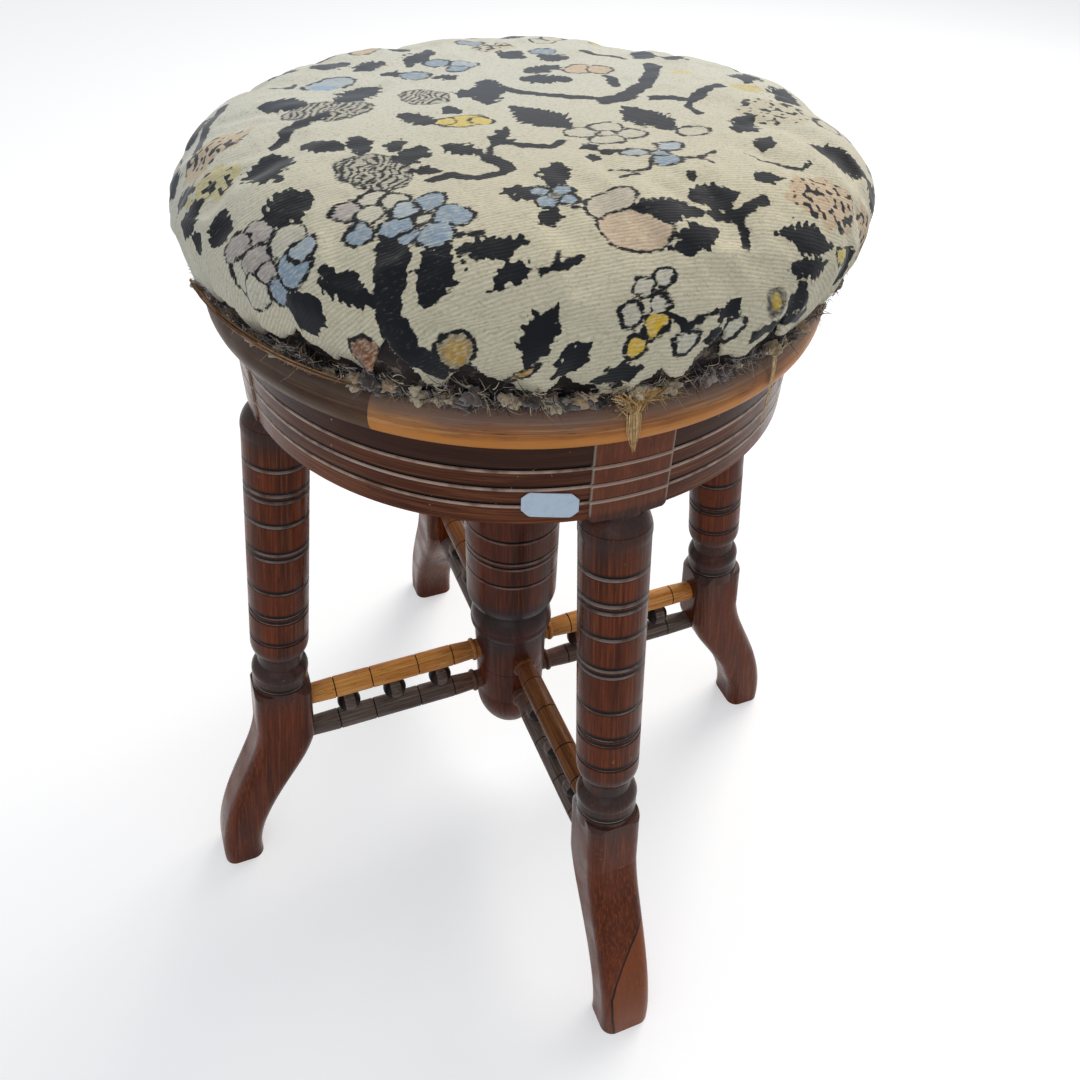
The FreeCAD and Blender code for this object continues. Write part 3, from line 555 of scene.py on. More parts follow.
def finish_wood():
    for name, turn in LEG_TURNS.items():
        give(leg_walnut("turned_walnut_leg_" + name, turn), "leg_" + name)
    give(column_walnut(), "column")
    give(apron_walnut(), "apron_rail_right_back", "apron_rail_back_left", "apron_rail_left_front",
         "apron_rail_front_right")
    dusty = ("#352318", "#4b3526", "#6b503c")
    give(rim_walnut("bullnose_walnut_dusty", dusty, "#5d4530", 0.5, 0.35), "seat_rim_1", "seat_rim_2")
    give(rim_walnut("bullnose_walnut_rubbed", ("#8d5730", "#b27a47", "#d0a06c"), "#c47f3a", 0.9, 0.8),
         "seat_rim_3")
    give(rim_walnut("bullnose_walnut_right", ("#80502f", "#a4714b", "#c39a74"), "#b87434", 0.75, 0.75),
         "seat_rim_4")
    honey = ("#b06a2c", "#dc9a4e", "#ecbc78")
    brown = ("#54301a", "#744524", "#986434")
    grey = ("#4a3c35", "#665952", "#8d7f75")
    for name, turn in LEG_TURNS.items():
        upper = brown if name in ("front", "back") else honey
        give(rail_wood("rail_upper_" + name, turn, 147.5, upper, "#1d100a", 0.32), "stretcher_upper_" + name)
        give(rail_wood("rail_lower_" + name, turn, 113.5, grey, "#1a1412", 0.38), "stretcher_lower_" + name)
        give(rail_wood("rail_balls_" + name, turn, 130.5, grey, "#1a1412", 0.4), "stretcher_balls_" + name)
    give(raw_pine(), "cross_bar_upper", "cross_bar_lower", "seat_board")
    give(iron("cast_iron", "#1c1a1a", 0.5), "nut_plate", "seat_flange")
    give(iron("greased_steel", "#77726c", 0.28), "spindle", "washer", "nut_screws", "flange_screws")


# Cushion form

def dome_height(radius):
    """Height of the cushion's top above its widest line, for radii in millimetres."""
    share = np.clip(radius / WIDEST_R, 0, 1)
    return (CROWN_Z - WIDEST_Z) * (1 - share ** DOME_POWER) ** (1 / DOME_ROUND)


def half_profile():
    """Half section of the stuffed seat in millimetres, from its crown down to the board."""
    turns = np.linspace(math.pi / 2, 0, 60)
    top_r = WIDEST_R * np.cos(turns) ** 0.6
    top_z = WIDEST_Z + dome_height(top_r)
    under = np.linspace(0, math.pi / 2, 16)[1:]
    side_r = WIDEST_R - (WIDEST_R - FOOT_R) * (1 - np.cos(under))
    side_z = WIDEST_Z - (WIDEST_Z - SEAT_TOP) * np.sin(under)
    return np.concatenate([top_r, side_r]), np.concatenate([top_z, side_z])


def along_cloth(points):
    """Flat place on the cloth and way from the crown, for points of the upright form; in millimetres."""
    r, z = half_profile()
    way = np.concatenate([[0], np.cumsum(np.hypot(np.diff(r), np.diff(z)))])
    own_r = np.hypot(points[:, 0], points[:, 1])
    top = len(r) - 15
    from_top = np.interp(own_r, r[:top], way[:top])
    from_side = np.interp(-points[:, 2], -z[top - 1:], way[top - 1:])
    share = np.clip((WIDEST_Z + 6 - points[:, 2]) / 6, 0, 1)
    edge = (own_r > WIDEST_R - 9) | (points[:, 2] < WIDEST_Z)
    own_way = np.where(edge, from_top * (1 - share) + from_side * share, from_top)
    scale = own_way / np.maximum(own_r, 0.01)
    return np.stack([points[:, 0] * scale, points[:, 1] * scale, own_way], 1)


def lean_and_shift(points):
    """Leans the upright form to the front and moves it off the screw, more with height; in millimetres."""
    share = np.clip((points[:, 2] - SEAT_TOP) / (WIDEST_Z - SEAT_TOP), 0, 1)
    placed = points.copy()
    placed[:, 2] -= DOME_LEAN * points[:, 1] * share
    placed[:, 0] += DOME_OFF[0] * share
    placed[:, 1] += DOME_OFF[1] * share
    return placed


def spun(name, radii, heights, steps):
    """Closed form turned about the axis from a half section in millimetres."""
    form = bmesh.new()
    line = [form.verts.new((r * MM, 0, z * MM)) for r, z in zip(radii, heights)]
    edges = [form.edges.new(pair) for pair in zip(line[:-1], line[1:])]
    bmesh.ops.spin(form, geom=line + edges, cent=(0, 0, 0), axis=(0, 0, 1), angle=2 * math.pi, steps=steps)
    bmesh.ops.remove_doubles(form, verts=form.verts, dist=1e-5)
    bmesh.ops.recalc_face_normals(form, faces=form.faces)
    return object_of(form, name)


def value_noise(x, y, seed):
    """Smooth seeded field between -1 and 1, with a grid step of one."""
    table = np.random.default_rng(seed).uniform(-1, 1, (128, 128))
    column = np.floor(x).astype(int)
    row = np.floor(y).astype(int)
    across = x - column
    up = y - row
    across = across * across * (3 - 2 * across)
    up = up * up * (3 - 2 * up)

    def along_row(at):
        return table[column % 128, at % 128] * (1 - across) + table[(column + 1) % 128, at % 128] * across

    return along_row(row) * (1 - up) + along_row(row + 1) * up


def noise_at(x, y, seed):
    """The same field at one place."""
    return value_noise(np.array([x]), np.array([y]), seed)[0]


def pleats(around):
    """Gathers of the cloth's edge: 0 between them, 1 where it is drawn in; around is in millimetres."""
    wave = value_noise(around / 11.0, around * 0 + 3.3, 5)
    return np.clip(np.abs(wave) * 1.5, 0, 1) ** 0.8


def local_part(points, way, moved):
    """Movement with its mean outward and upward part at each way from the crown taken off."""
    out = points[:, :2] / np.maximum(np.linalg.norm(points[:, :2], axis=1, keepdims=True), 1e-6)
    outward = (moved[:, :2] * out).sum(1)
    band = np.round(way / 4).astype(int)
    count = np.maximum(np.bincount(band), 1)
    mean_out = (np.bincount(band, outward) / count)[band]
    mean_up = (np.bincount(band, moved[:, 2]) / count)[band]
    kept = moved.copy()
    kept[:, :2] -= out * mean_out[:, None]
    kept[:, 2] -= mean_up
    return kept


def fill_with_pressure(form, target, way, held, cap):
    """Fills the form as cloth under pressure; each point ends within cap of its target, in metres."""
    group = form.vertex_groups.new(name="held")
    group.add([int(i) for i in np.nonzero(held)[0]], 1.0, "REPLACE")
    cloth = form.modifiers.new("filling", "CLOTH")
    cloth.settings.vertex_group_mass = "held"
    cloth.settings.use_pressure = True
    cloth.settings.uniform_pressure_force = PRESSURE
    cloth.settings.effector_weights.gravity = 0.0
    for step in range(1, STEPS + 1):
        scene.frame_set(step)
    apply_all(form)
    scene.frame_set(1)
    moved = points_of(form) - target
    moved = local_part(target, way, moved)
    length = np.linalg.norm(moved, axis=1)
    share = np.minimum(1, cap / np.maximum(length, 1e-9))
    put_points(form, target + moved * share[:, None])


def make_stuffed_form():
    """The filled seat as one closed form, with each point's flat place on the cloth kept on it."""
    radii, heights = half_profile()
    radii = np.concatenate([radii, [FOOT_R * 0.5, 0.0]])
    heights = np.concatenate([heights, [SEAT_TOP, SEAT_TOP]])
    form = spun("stuffed_form", radii, heights, 128)
    remesh = form.modifiers.new("even", "REMESH")
    remesh.mode = "VOXEL"
    remesh.voxel_size = GRID * MM
    apply_all(form)
    upright = points_of(form) / MM
    flat = along_cloth(upright)
    under = upright[:, 2] < SEAT_TOP + 1.5
    flat[under, 2] = UNDERSIDE
    angle = np.arctan2(upright[:, 1], upright[:, 0])
    edge = np.clip((flat[:, 2] - PLEATS_START) / PLEATS_LENGTH, 0, 1) * ~under
    drawn = PLEATS_DEPTH * pleats(angle * WIDEST_R) * edge ** 1.5
    placed = lean_and_shift(upright)
    own_r = np.maximum(np.hypot(upright[:, 0], upright[:, 1]), 1.0)
    placed[:, 0] -= upright[:, 0] / own_r * drawn
    placed[:, 1] -= upright[:, 1] / own_r * drawn
    target = placed * MM
    smaller = target.copy()
    smaller[:, :2] *= SHRUNK_ACROSS
    smaller[:, 2] = SEAT_TOP * MM + (target[:, 2] - SEAT_TOP * MM) * SHRUNK_UP
    held = flat[:, 2] > CLOTH_HELD
    smaller[held] = target[held]
    put_points(form, smaller)
    fill_with_pressure(form, target, flat[:, 2], held, LOOSE * MM)
    keep_vector(form, "flat", flat * MM)
    smooth_faces(form)
    return form


def keep_vector(piece, name, values):
    """Stores three numbers on each point of a piece."""
    store = piece.data.attributes.new(name, "FLOAT_VECTOR", "POINT")
    store.data.foreach_set("vector", values.astype(np.float32).ravel())


def keep_colour(piece, name, values):
    """Stores a linear colour on each point of a piece."""
    store = piece.data.attributes.new(name, "FLOAT_COLOR", "POINT")
    whole = np.concatenate([values, np.ones((len(values), 1))], 1)
    store.data.foreach_set("color", whole.astype(np.float32).ravel())


def vector_of(piece, name):
    data = np.empty(len(piece.data.vertices) * 3, np.float32)
    piece.data.attributes[name].data.foreach_get("vector", data)
    return data.reshape(-1, 3).astype(float)


def copy_of(piece, name):
    other = mesh_object(name, piece.data.copy())
    other.data.name = name
    return other


def remove_faces(piece, dropped):
    """Deletes the faces whose points are all dropped, and the loose points."""
    form = bmesh.new()
    form.from_mesh(piece.data)
    form.verts.ensure_lookup_table()
    faces = [f for f in form.faces if all(dropped[v.index] for v in f.verts)]
    bmesh.ops.delete(form, geom=faces, context="FACES")
    form.to_mesh(piece.data)
    form.free()


def smoother(piece, levels):
    step = piece.modifiers.new("smooth", "SUBSURF")
    step.levels = levels
    step.render_levels = levels
    step.boundary_smooth = "PRESERVE_CORNERS"
    apply_all(piece)


# Figure of the cloth, in millimetres on the flat cloth: right and back from its middle

# The ground is painted greyer and cooler towards the back: a painted sheen of the pile seen at a low angle
GROUND_BACK = "#cccdc0"
GROUND_FRONT = "#d0c8ad"
INK = "#1b1d24"
BLUE = "#8099b0"
PALE_BLUE = "#a2b3c0"
YELLOW = "#d6bf58"
PEACH = "#cab196"
PALE = "#c9c5b4"
MAUVE = "#aea6a4"
RUST = "#7a4024"

# Dark leaves: place, length, width, turn in degrees
LEAVES = (
    (-167, -31, 20, 13, 20), (-171, -45, 12, 9, 0), (-156, -55, 20, 14, 60), (-127, -37, 26, 20, 75),
    (-125, -48, 12, 6, 85), (-126, -70, 24, 20, 30), (-103, -30, 24, 13, -40), (-87, -34, 24, 12, 85),
    (-73, -39, 18, 8, 60), (-70, -52, 22, 12, 40), (-69, -68, 14, 8, -35), (-29, -46, 24, 8, 60),
    (-50, -55, 20, 10, -55), (-55, -11, 24, 13, -55), (-37, -5, 14, 8, 100), (-3, -29, 42, 22, 110),
    (-24, -93, 24, 13, 60), (-42, -104, 18, 10, -50), (-38, -123, 14, 9, 40), (6, -131, 34, 14, -12),
    (12, -147, 27, 13, 15), (31, -126, 20, 17, 0), (28, -110, 10, 5, 80), (61, -118, 16, 9, 0),
    (66, -149, 34, 13, -8), (68, -161, 26, 11, 8), (103, -152, 22, 12, -20), (66, -174, 18, 10, 0),
    (77, -86, 18, 8, 50), (80, -64, 26, 13, 45), (118, -92, 36, 18, -25), (43, -44, 38, 19, 100),
    (0, -72, 10, 6, 20), (7, -79, 11, 6, -20), (-2, -82, 9, 6, 60), (27, 47, 22, 16, 20),
    (22, 28, 30, 16, -20), (92, 60, 30, 14, 70), (104, 50, 24, 14, 50), (42, 66, 20, 14, -60),
    (23, 78, 18, 14, 30), (124, 6, 30, 16, 50), (132, -18, 30, 16, 50), (-72, 92, 24, 20, 10),
    (-54, 80, 22, 14, 30), (-27, 85, 34, 14, 50), (-47, 62, 12, 8, 0), (-24, 48, 14, 9, 0),
    (-107, 32, 26, 17, -25), (-72, 34, 34, 18, 40), (-168, -9, 24, 16, -50), (-22, 18, 20, 13, 40),
    (-13, 18, 46, 16, 70), (-30, 105, 16, 11, 0), (-142, -115, 21, 19, 0), (-120, -118, 32, 12, -60),
    (-98, -122, 30, 12, 60), (-86, -132, 28, 15, 50), (-64, -131, 26, 11, -15), (-62, -144, 18, 8, 20),
    (-60, -170, 28, 13, 45), (-48, -184, 22, 12, 35), (-26, -196, 24, 12, 10), (22, -178, 18, 8, 35),
    (17, -188, 12, 8, 0), (150, -60, 26, 15, 30), (158, -30, 20, 13, 70), (140, -105, 24, 14, -50),
    (165, 5, 24, 14, 60), (148, 42, 28, 15, 30), (128, 84, 30, 15, 120), (100, 108, 26, 14, 20),
    (70, 122, 30, 15, 70), (36, 120, 24, 13, -30), (8, 138, 30, 14, 40), (-32, 140, 26, 14, 100),
    (-66, 128, 28, 15, 10), (-98, 104, 30, 15, -50), (-126, 86, 26, 14, 50), (-150, 58, 28, 15, 0),
    (-172, 22, 22, 14, 70), (60, 156, 24, 13, 10), (-20, 168, 24, 13, 60), (-90, 148, 26, 14, 70),
    (120, 128, 24, 13, -40), (-140, 118, 24, 14, 30), (176, -60, 22, 12, 80), (-30, 196, 24, 12, 0),
    (88, 172, 24, 12, 30), (150, 112, 24, 12, 60), (182, 40, 22, 12, 20), (-186, 60, 24, 12, 60))

# Dark stems: width, then the line that each follows
STEMS = (
    (6, ((-92, 8), (-104, 2), (-113, -6), (-120, -16))),
    (6, ((-69, -77), (-60, -79), (-52, -83), (-44, -84), (-38, -80), (-39, -72), (-43, -66))),
    (3.5, ((-42, -66), (-38, -58), (-32, -52))),
    (5, ((-30, -54), (-22, -60), (-14, -67), (-8, -62))),
    (5, ((24, -136), (34, -138), (44, -134), (53, -131))),
    (4, ((36, -138), (37, -145), (34, -152))),
    (2.5, ((63, -94), (66, -101), (74, -104), (82, -108), (90, -104))),
    (2, ((-1, -97), (6, -101), (14, -99), (18, -95))),
    (2, ((0, -104), (8, -104))),
    (2.5, ((34, -92), (40, -95), (50, -91))),
    (2, ((40, -95), (43, -102))),
    (6, ((58, -18), (66, -20), (74, -27), (82, -20), (90, -14), (98, -12))),
    (4, ((74, -27), (68, -34), (68, -44))),
    (9, ((84, 34), (76, 18), (66, 6), (56, -4), (46, -12), (36, -16))),
    (6, ((52, 22), (50, 6))),
    (6, ((-4, 22), (4, 10), (14, 2), (24, -6), (34, -10), (46, -12))),
    (5, ((62, 74), (66, 64), (72, 56), (78, 54))),
    (4, ((-108, 76), (-106, 64), (-98, 60), (-96, 70))),
    (6, ((-132, 62), (-140, 50), (-148, 38), (-154, 28))),
    (11, ((-98, -112), (-103, -126), (-110, -138), (-110, -152), (-106, -166))),
    (3, ((-52, -146), (-44, -147), (-35, -145))),
    (2, ((-44, -147), (-42, -141))),
    (2, ((-27, -121), (-22, -123))),
    (3, ((-72, -122), (-64, -123))),
    (2.5, ((-10, -168), (-6, -176), (2, -182), (10, -180), (14, -179))),
    (6, ((44, -188), (56, -184), (70, -180), (84, -178))),
    (6, ((120, 60), (132, 50), (140, 36), (136, 22))),
    (5, ((60, 132), (76, 140), (92, 134), (104, 120))),
    (6, ((-60, 150), (-48, 144), (-36, 152), (-22, 154))),
    (5, ((-112, 118), (-120, 106), (-132, 100))),
    (3, ((28, 150), (36, 142), (44, 146))),
    (5, ((-160, 84), (-164, 70), (-160, 56))))

# Petals and eyes: place, half sizes, colour, width of the dark line round it, and a turn in degrees
PETALS = (
    (-38, -22, 11, 8, YELLOW, 1.0), (-45, -19, 5, 5, YELLOW, 1.0), (-31, -25, 5, 5, YELLOW, 1.0),
    (-36, -106, 4.5, 4, BLUE, 1.2), (-27, -107, 4.5, 4, BLUE, 1.2), (-36, -114, 4.5, 4, BLUE, 1.2),
    (-27, -115, 4.5, 4, BLUE, 1.2), (-31, -110, 2, 2, INK, 0.0), (-12, -121, 12, 8, "#bdb3a2", 1.2, 25),
    (-10, -138, 14, 11, PEACH, 1.2, -15), (16, -84, 7, 5, PALE_BLUE, 1.2),
    (34, -80, 7, 5, PALE_BLUE, 1.2, 20), (26, -94, 7, 5.5, BLUE, 1.2), (25, -87, 4, 3.5, BLUE, 1.2),
    (6, -54, 8, 7, PALE, 1.1), (19, -50, 8, 7, PALE, 1.1), (12, -66, 8, 6, PALE, 1.1),
    (26, -62, 7, 6, PALE, 1.1), (15, -58, 4, 4, PALE, 1.1), (53, -66, 8, 6, PALE, 1.2),
    (44, 38, 8, 8, PEACH, 1.0), (53, 34, 7, 7, PEACH, 1.0), (42, 80, 7, 6, BLUE, 1.0),
    (-20, 72, 7, 6, BLUE, 1.0), (-8, 66, 8, 6, PALE_BLUE, 1.0), (-14, 60, 6, 5, BLUE, 1.0),
    (-38, 56, 8, 7, BLUE, 1.0), (-80, 57, 14, 10, PALE_BLUE, 1.2, 20), (-84, 50, 7, 5, "#86a5c4", 0.0),
    (-142, -74, 8, 7, MAUVE, 1.1), (-152, -72, 8, 7, MAUVE, 1.1), (-158, -82, 8, 7, PALE, 1.1),
    (-148, -84, 9, 7, MAUVE, 1.1), (-158, -92, 8, 7, PALE, 1.1), (-146, -92, 6, 6, MAUVE, 1.1),
    (-132, -85, 8, 7, PALE, 1.1), (-147, -101, 7, 6, BLUE, 1.2), (-134, -98, 9, 7, BLUE, 1.2, 30),
    (-128, -94, 6, 5, PALE_BLUE, 1.2), (-106, -87, 7, 6, MAUVE, 1.2), (-96, -83, 7, 6, PALE, 1.2),
    (-88, -88, 7, 6, PALE, 1.2), (-100, -92, 6, 5, PALE, 1.2), (-106, -100, 6.5, 5.5, BLUE, 1.2),
    (-92, -104, 7, 6, BLUE, 1.2), (-86, -95, 6.5, 6, PALE_BLUE, 1.2), (-75, -96, 7, 6.5, BLUE, 1.2),
    (-71, -109, 8, 7, BLUE, 1.2), (-80, -117, 7.5, 6.5, BLUE, 1.2), (-90, -112, 5, 4, BLUE, 1.2),
    (-82, -105, 4, 3.5, PALE, 1.6), (-94, -163, 9, 8, "#8d7a56", 1.6), (-94, -163, 5.5, 5, "#b08a3a", 0.0),
    (-131, -144, 9, 7, RUST, 1.4), (-129, -150, 5, 4, "#9a5a34", 0.0), (-11, -178, 6, 5, "#dcb42c", 1.4),
    (-21, -184, 5.5, 4.5, "#dcb42c", 1.4), (-23, -172, 6, 5, PALE, 1.4), (-15, -163, 4.5, 4, PALE, 1.3),
    (-6, -161, 4.5, 4, PALE, 1.3), (-9, -170, 4, 4, PALE, 1.3), (27, -186, 6, 5, PALE, 1.3),
    (1, -187, 6, 4, PALE, 1.3), (48, -175, 8, 6, "#26272c", 0.0), (48, -175, 3.5, 3, "#c8a632", 0.0),
    (-70, -184, 8, 2.5, "#a8823c", 1.0, 20), (112, -14, 9, 6, "#c9b878", 0.0),
    (92, 16, 6, 5, "#d2c892", 0.0), (92, -152, 6, 4, YELLOW, 1.0), (138, -40, 8, 7, PEACH, 1.1),
    (150, -84, 7, 6, BLUE, 1.1), (128, -62, 7, 6, PALE, 1.1), (160, 70, 8, 7, BLUE, 1.1),
    (150, 78, 7, 6, PALE_BLUE, 1.1), (112, 96, 8, 7, PEACH, 1.1), (84, 98, 7, 6, YELLOW, 1.1),
    (50, 102, 8, 7, PALE, 1.1), (58, 108, 7, 6, PALE, 1.1), (10, 112, 8, 7, BLUE, 1.1),
    (-48, 112, 8, 7, PEACH, 1.1), (-112, 134, 8, 7, YELLOW, 1.1), (-146, 98, 8, 7, BLUE, 1.1),
    (-88, 122, 7, 6, PALE, 1.1), (-170, 44, 7, 6, PALE, 1.1), (30, 176, 8, 7, BLUE, 1.1),
    (-60, 176, 8, 7, PALE, 1.1), (116, 150, 8, 7, PALE, 1.1))

# Flowers drawn in lines, and groups of dots: place, half sizes, colour under them
HATCHED = ((-88, -62, 14, 17, "#a9a798"), (-44, 20, 12, 13, "#b4b2a4"), (-90, 14, 21, 13, "#aeab9e"),
           (-96, -58, 8, 12, "#a9a798"), (-152, 82, 16, 12, "#aeab9e"), (24, 142, 16, 12, "#aeab9e"))
SPECKLED = ((84, -128, 21, 14, "#c7ac8c"), (104, -50, 18, 16, "#c4bda6"), (-145, 8, 19, 13, "#c6b193"),
            (-150, -25, 14, 9, "#c2b98a"), (18, 96, 12, 10, "#c4bda6"), (128, -130, 18, 12, "#c7ac8c"),
            (60, -200, 16, 9, "#c4bda6"), (96, 138, 16, 12, "#c7ac8c"), (-10, 190, 16, 12, "#c4bda6"))


def turned(u, v, place, degrees):
    angle = math.radians(degrees)
    x = u - place[0]
    y = v - place[1]
    return x * math.cos(angle) + y * math.sin(angle), y * math.cos(angle) - x * math.sin(angle)


def leaf_edge(u, v, leaf):
    """Distance to a pointed leaf's edge, negative inside."""
    along, across = turned(u, v, leaf[:2], leaf[4])
    half = leaf[2] / 2
    share = np.clip(np.abs(along) / half, 0, 1)
    width = leaf[3] / 2 * (1 - share ** 2.2) * (1 + 0.16 * np.sin(along * 1.7 - np.abs(across) * 0.9))
    beyond = np.maximum(np.abs(along) - half, 0)
    return np.where(beyond > 0, np.hypot(beyond, across), (np.abs(across) - width) * 0.8)


def round_edge(u, v, place, half_u, half_v, degrees=0):
    """Distance to an oval's edge, negative inside."""
    x, y = turned(u, v, place, degrees)
    return (np.hypot(x / half_u, y / half_v) - 1) * min(half_u, half_v)


def line_edge(u, v, line, width):
    """Distance to the edge of a stem drawn along a line."""
    nearest = np.full(len(u), 1e3)
    for (x0, y0), (x1, y1) in zip(line[:-1], line[1:]):
        dx, dy = x1 - x0, y1 - y0
        share = np.clip(((u - x0) * dx + (v - y0) * dy) / (dx * dx + dy * dy), 0, 1)
        nearest = np.minimum(nearest, np.hypot(u - x0 - share * dx, v - y0 - share * dy))
    return nearest - width / 2


def laid_over(under, edge, colour):
    """Colours with one more laid over them inside an edge."""
    share = np.clip(0.5 - edge / 0.9, 0, 1)[:, None]
    return under * (1 - share) + np.array(linear(colour)[:3]) * share


def draw_figure(u, v):
    """Ground and flower colours, and the distance to the dark leaves, stems and outlines."""
    wander_u = u + 1.5 * value_noise(u / 9, v / 9, 11) + 0.7 * value_noise(u / 2.6, v / 2.6, 12)
    wander_v = v + 1.5 * value_noise(u / 9, v / 9, 13) + 0.7 * value_noise(u / 2.6, v / 2.6, 14)
    # Painted sheen: the ground turns greyer and cooler towards the back
    back = np.clip((v + 130) / 160, 0, 1)[:, None]
    colours = np.array(linear(GROUND_FRONT)[:3]) * (1 - back) + np.array(linear(GROUND_BACK)[:3]) * back
    dark = np.full(len(u), 50.0)
    ragged = 1.7 * value_noise(u / 2.9, v / 2.9, 15) + 0.8 * value_noise(u / 1.5, v / 1.5, 19)
    for leaf in LEAVES:
        dark = np.minimum(dark, leaf_edge(wander_u, wander_v, leaf) + ragged)
    for width, line in STEMS:
        dark = np.minimum(dark, line_edge(wander_u, wander_v, line, width) + ragged * 0.4)
    for x, y, half_u, half_v, colour in HATCHED:
        edge = round_edge(wander_u, wander_v, (x, y), half_u, half_v)
        colours = laid_over(colours, edge, colour)
        lines = np.abs(((wander_u - wander_v * 0.6 + 3 * value_noise(u / 6, v / 6, 16)) % 3.6) - 1.8) - 0.75
        dark = np.minimum(dark, np.maximum(lines, edge))
        dark = np.minimum(dark, np.abs(edge) - 0.45)
    for x, y, half_u, half_v, colour in SPECKLED:
        edge = round_edge(wander_u, wander_v, (x, y), half_u, half_v)
        colours = laid_over(colours, edge + 4 * value_noise(u / 5, v / 5, 17), colour)
        dots = 0.9 - 3.4 * value_noise(u / 2.2, v / 1.9, 18)
        dark = np.minimum(dark, np.maximum(dots, edge))
    for x, y, half_u, half_v, colour, line, *degrees in PETALS:
        edge = round_edge(wander_u, wander_v, (x, y), half_u, half_v, *degrees)
        colours = laid_over(colours, edge, colour)
        dark = np.where(edge < 0, np.maximum(dark, 1.4), dark)
        if line:
            dark = np.minimum(dark, np.abs(edge) - line * 0.6 - 0.45 * value_noise(u / 2.4, v / 2.4, 20))
    return colours, dark


def moquette():
    """Wool moquette, woven in ribs 1.7 mm apart: cut pile with a floral figure, rubbed thin on the ribs.

    The pile keeps the colour soft and shows paler where the eye skims it.
    """
    material = new_material("wool_moquette")
    flat = add(material, "Attribute", {"attribute_name": "flat"})
    figure = add(material, "Attribute", {"attribute_name": "figure"})
    leaves = add(material, "Attribute", {"attribute_name": "leaf_mm"})
    laid = add(material, "Mapping", inputs={"Vector": (flat, "Vector"), "Rotation": (0, 0, math.radians(5))})
    parts = axes(material, laid)
    # Tufts are 1.2 mm wide and 3 mm long, laid end to end along each rib
    tufts_at = add(material, "Mapping", inputs={"Vector": laid, "Scale": (330, 900, 1)})
    tufts = noise(material, tufts_at, 1.0, 2.0, 0.6)
    bent = noise(material, laid, 120.0, 2.0)
    wave_at = times(material, parts["Y"], 2 * math.pi / (RIB * MM))
    swayed = maths(material, "MULTIPLY_ADD", bent, 3.0, wave_at)
    wave = maths(material, "SINE", swayed)
    rib = spread(material, wave, -1.0, 1.0)
    towards_front = spread(material, parts["Y"], 0.04, -0.11, 0.35, 1.0)
    trough = maths(material, "SUBTRACT", 1.0, rib)
    trough_shade_part = times(material, trough, towards_front)
    worn_at = noise(material, (flat, "Vector"), 14.0, 5.0, 0.6)
    worn = spread(material, worn_at, 0.42, 0.66)
    soiled = noise(material, (flat, "Vector"), 38.0, 4.0)
    soil = spread(material, soiled, 0.5, 0.75, 0.0, 0.25)
    ground = blend(material, soil, (figure, "Color"), "#9a9178")
    grain = noise(material, (flat, "Vector"), 700.0, 2.0)
    speck = spread(material, grain, 0.5, 0.7, 0.0, 0.38)
    ground = blend(material, speck, ground, "#857c63")
    fleck = spread(material, tufts, 0.4, 0.7, 0.0, 0.42)
    ground = blend(material, fleck, ground, "#e2dcc4")
    # Painted shade in the troughs between the ribs, stronger towards the front
    ground = blend(material, times(material, trough_shade_part, 0.24), ground, "#7c7359")
    # Leaf edges step from tuft to tuft by up to 0.8 mm
    step = maths(material, "MULTIPLY_ADD", tufts, 2.6, (leaves, "Fac"))
    inside = spread(material, step, 1.75, 0.95)
    # The dark figure is painted greyer towards the back: a painted sheen of the pile seen at a low angle
    front = spread(material, parts["Y"], 0.06, -0.09)
    ink_with_sheen = blend(material, front, "#3a4049", "#15171c")
    thin = spread(material, tufts, 0.56, 0.74)
    thin_part = times(material, thin, worn)
    ink_with_sheen = blend(material, times(material, thin_part, 0.55), ink_with_sheen, "#6d6a60")
    colour = blend(material, inside, ground, ink_with_sheen)
    raised = maths(material, "MULTIPLY_ADD", rib, towards_front, tufts)
    return surface(material, colour, 0.9, (raised, 0.16, 0.5), {
        "Specular IOR Level": 0.2, "Sheen Weight": 0.25, "Sheen Roughness": 0.4})


# Tears up from the cloth's edge: place in degrees, half width in degrees, height in millimetres
TEARS = ((-128, 4, 15), (-118, 4, 13), (-101, 2.5, 8), (-146, 4, 8), (-84, 4, 9), (-160, 5, 6), (-72, 2, 6))


def torn_edge(around):
    """Way from the crown at which the cloth ends, for places round the seat in degrees."""
    # Torn most within 62 degrees of -109, the side that the photograph shows
    away = np.clip((np.abs(np.abs(around + 109) - 360 * (around > 71)) - 62) / 14, 0, 1)
    tongues = 7.5 * value_noise(around / 4.2, around * 0, 21) + 3 * value_noise(around / 1.5, around * 0, 22)
    edge = (203 + tongues) * (1 - away) + (209 + 0.4 * tongues) * away
    for place, half, height in TEARS:
        edge -= height * np.clip(1 - (np.abs(around - place) / half) ** 2, 0, 1)
    return edge


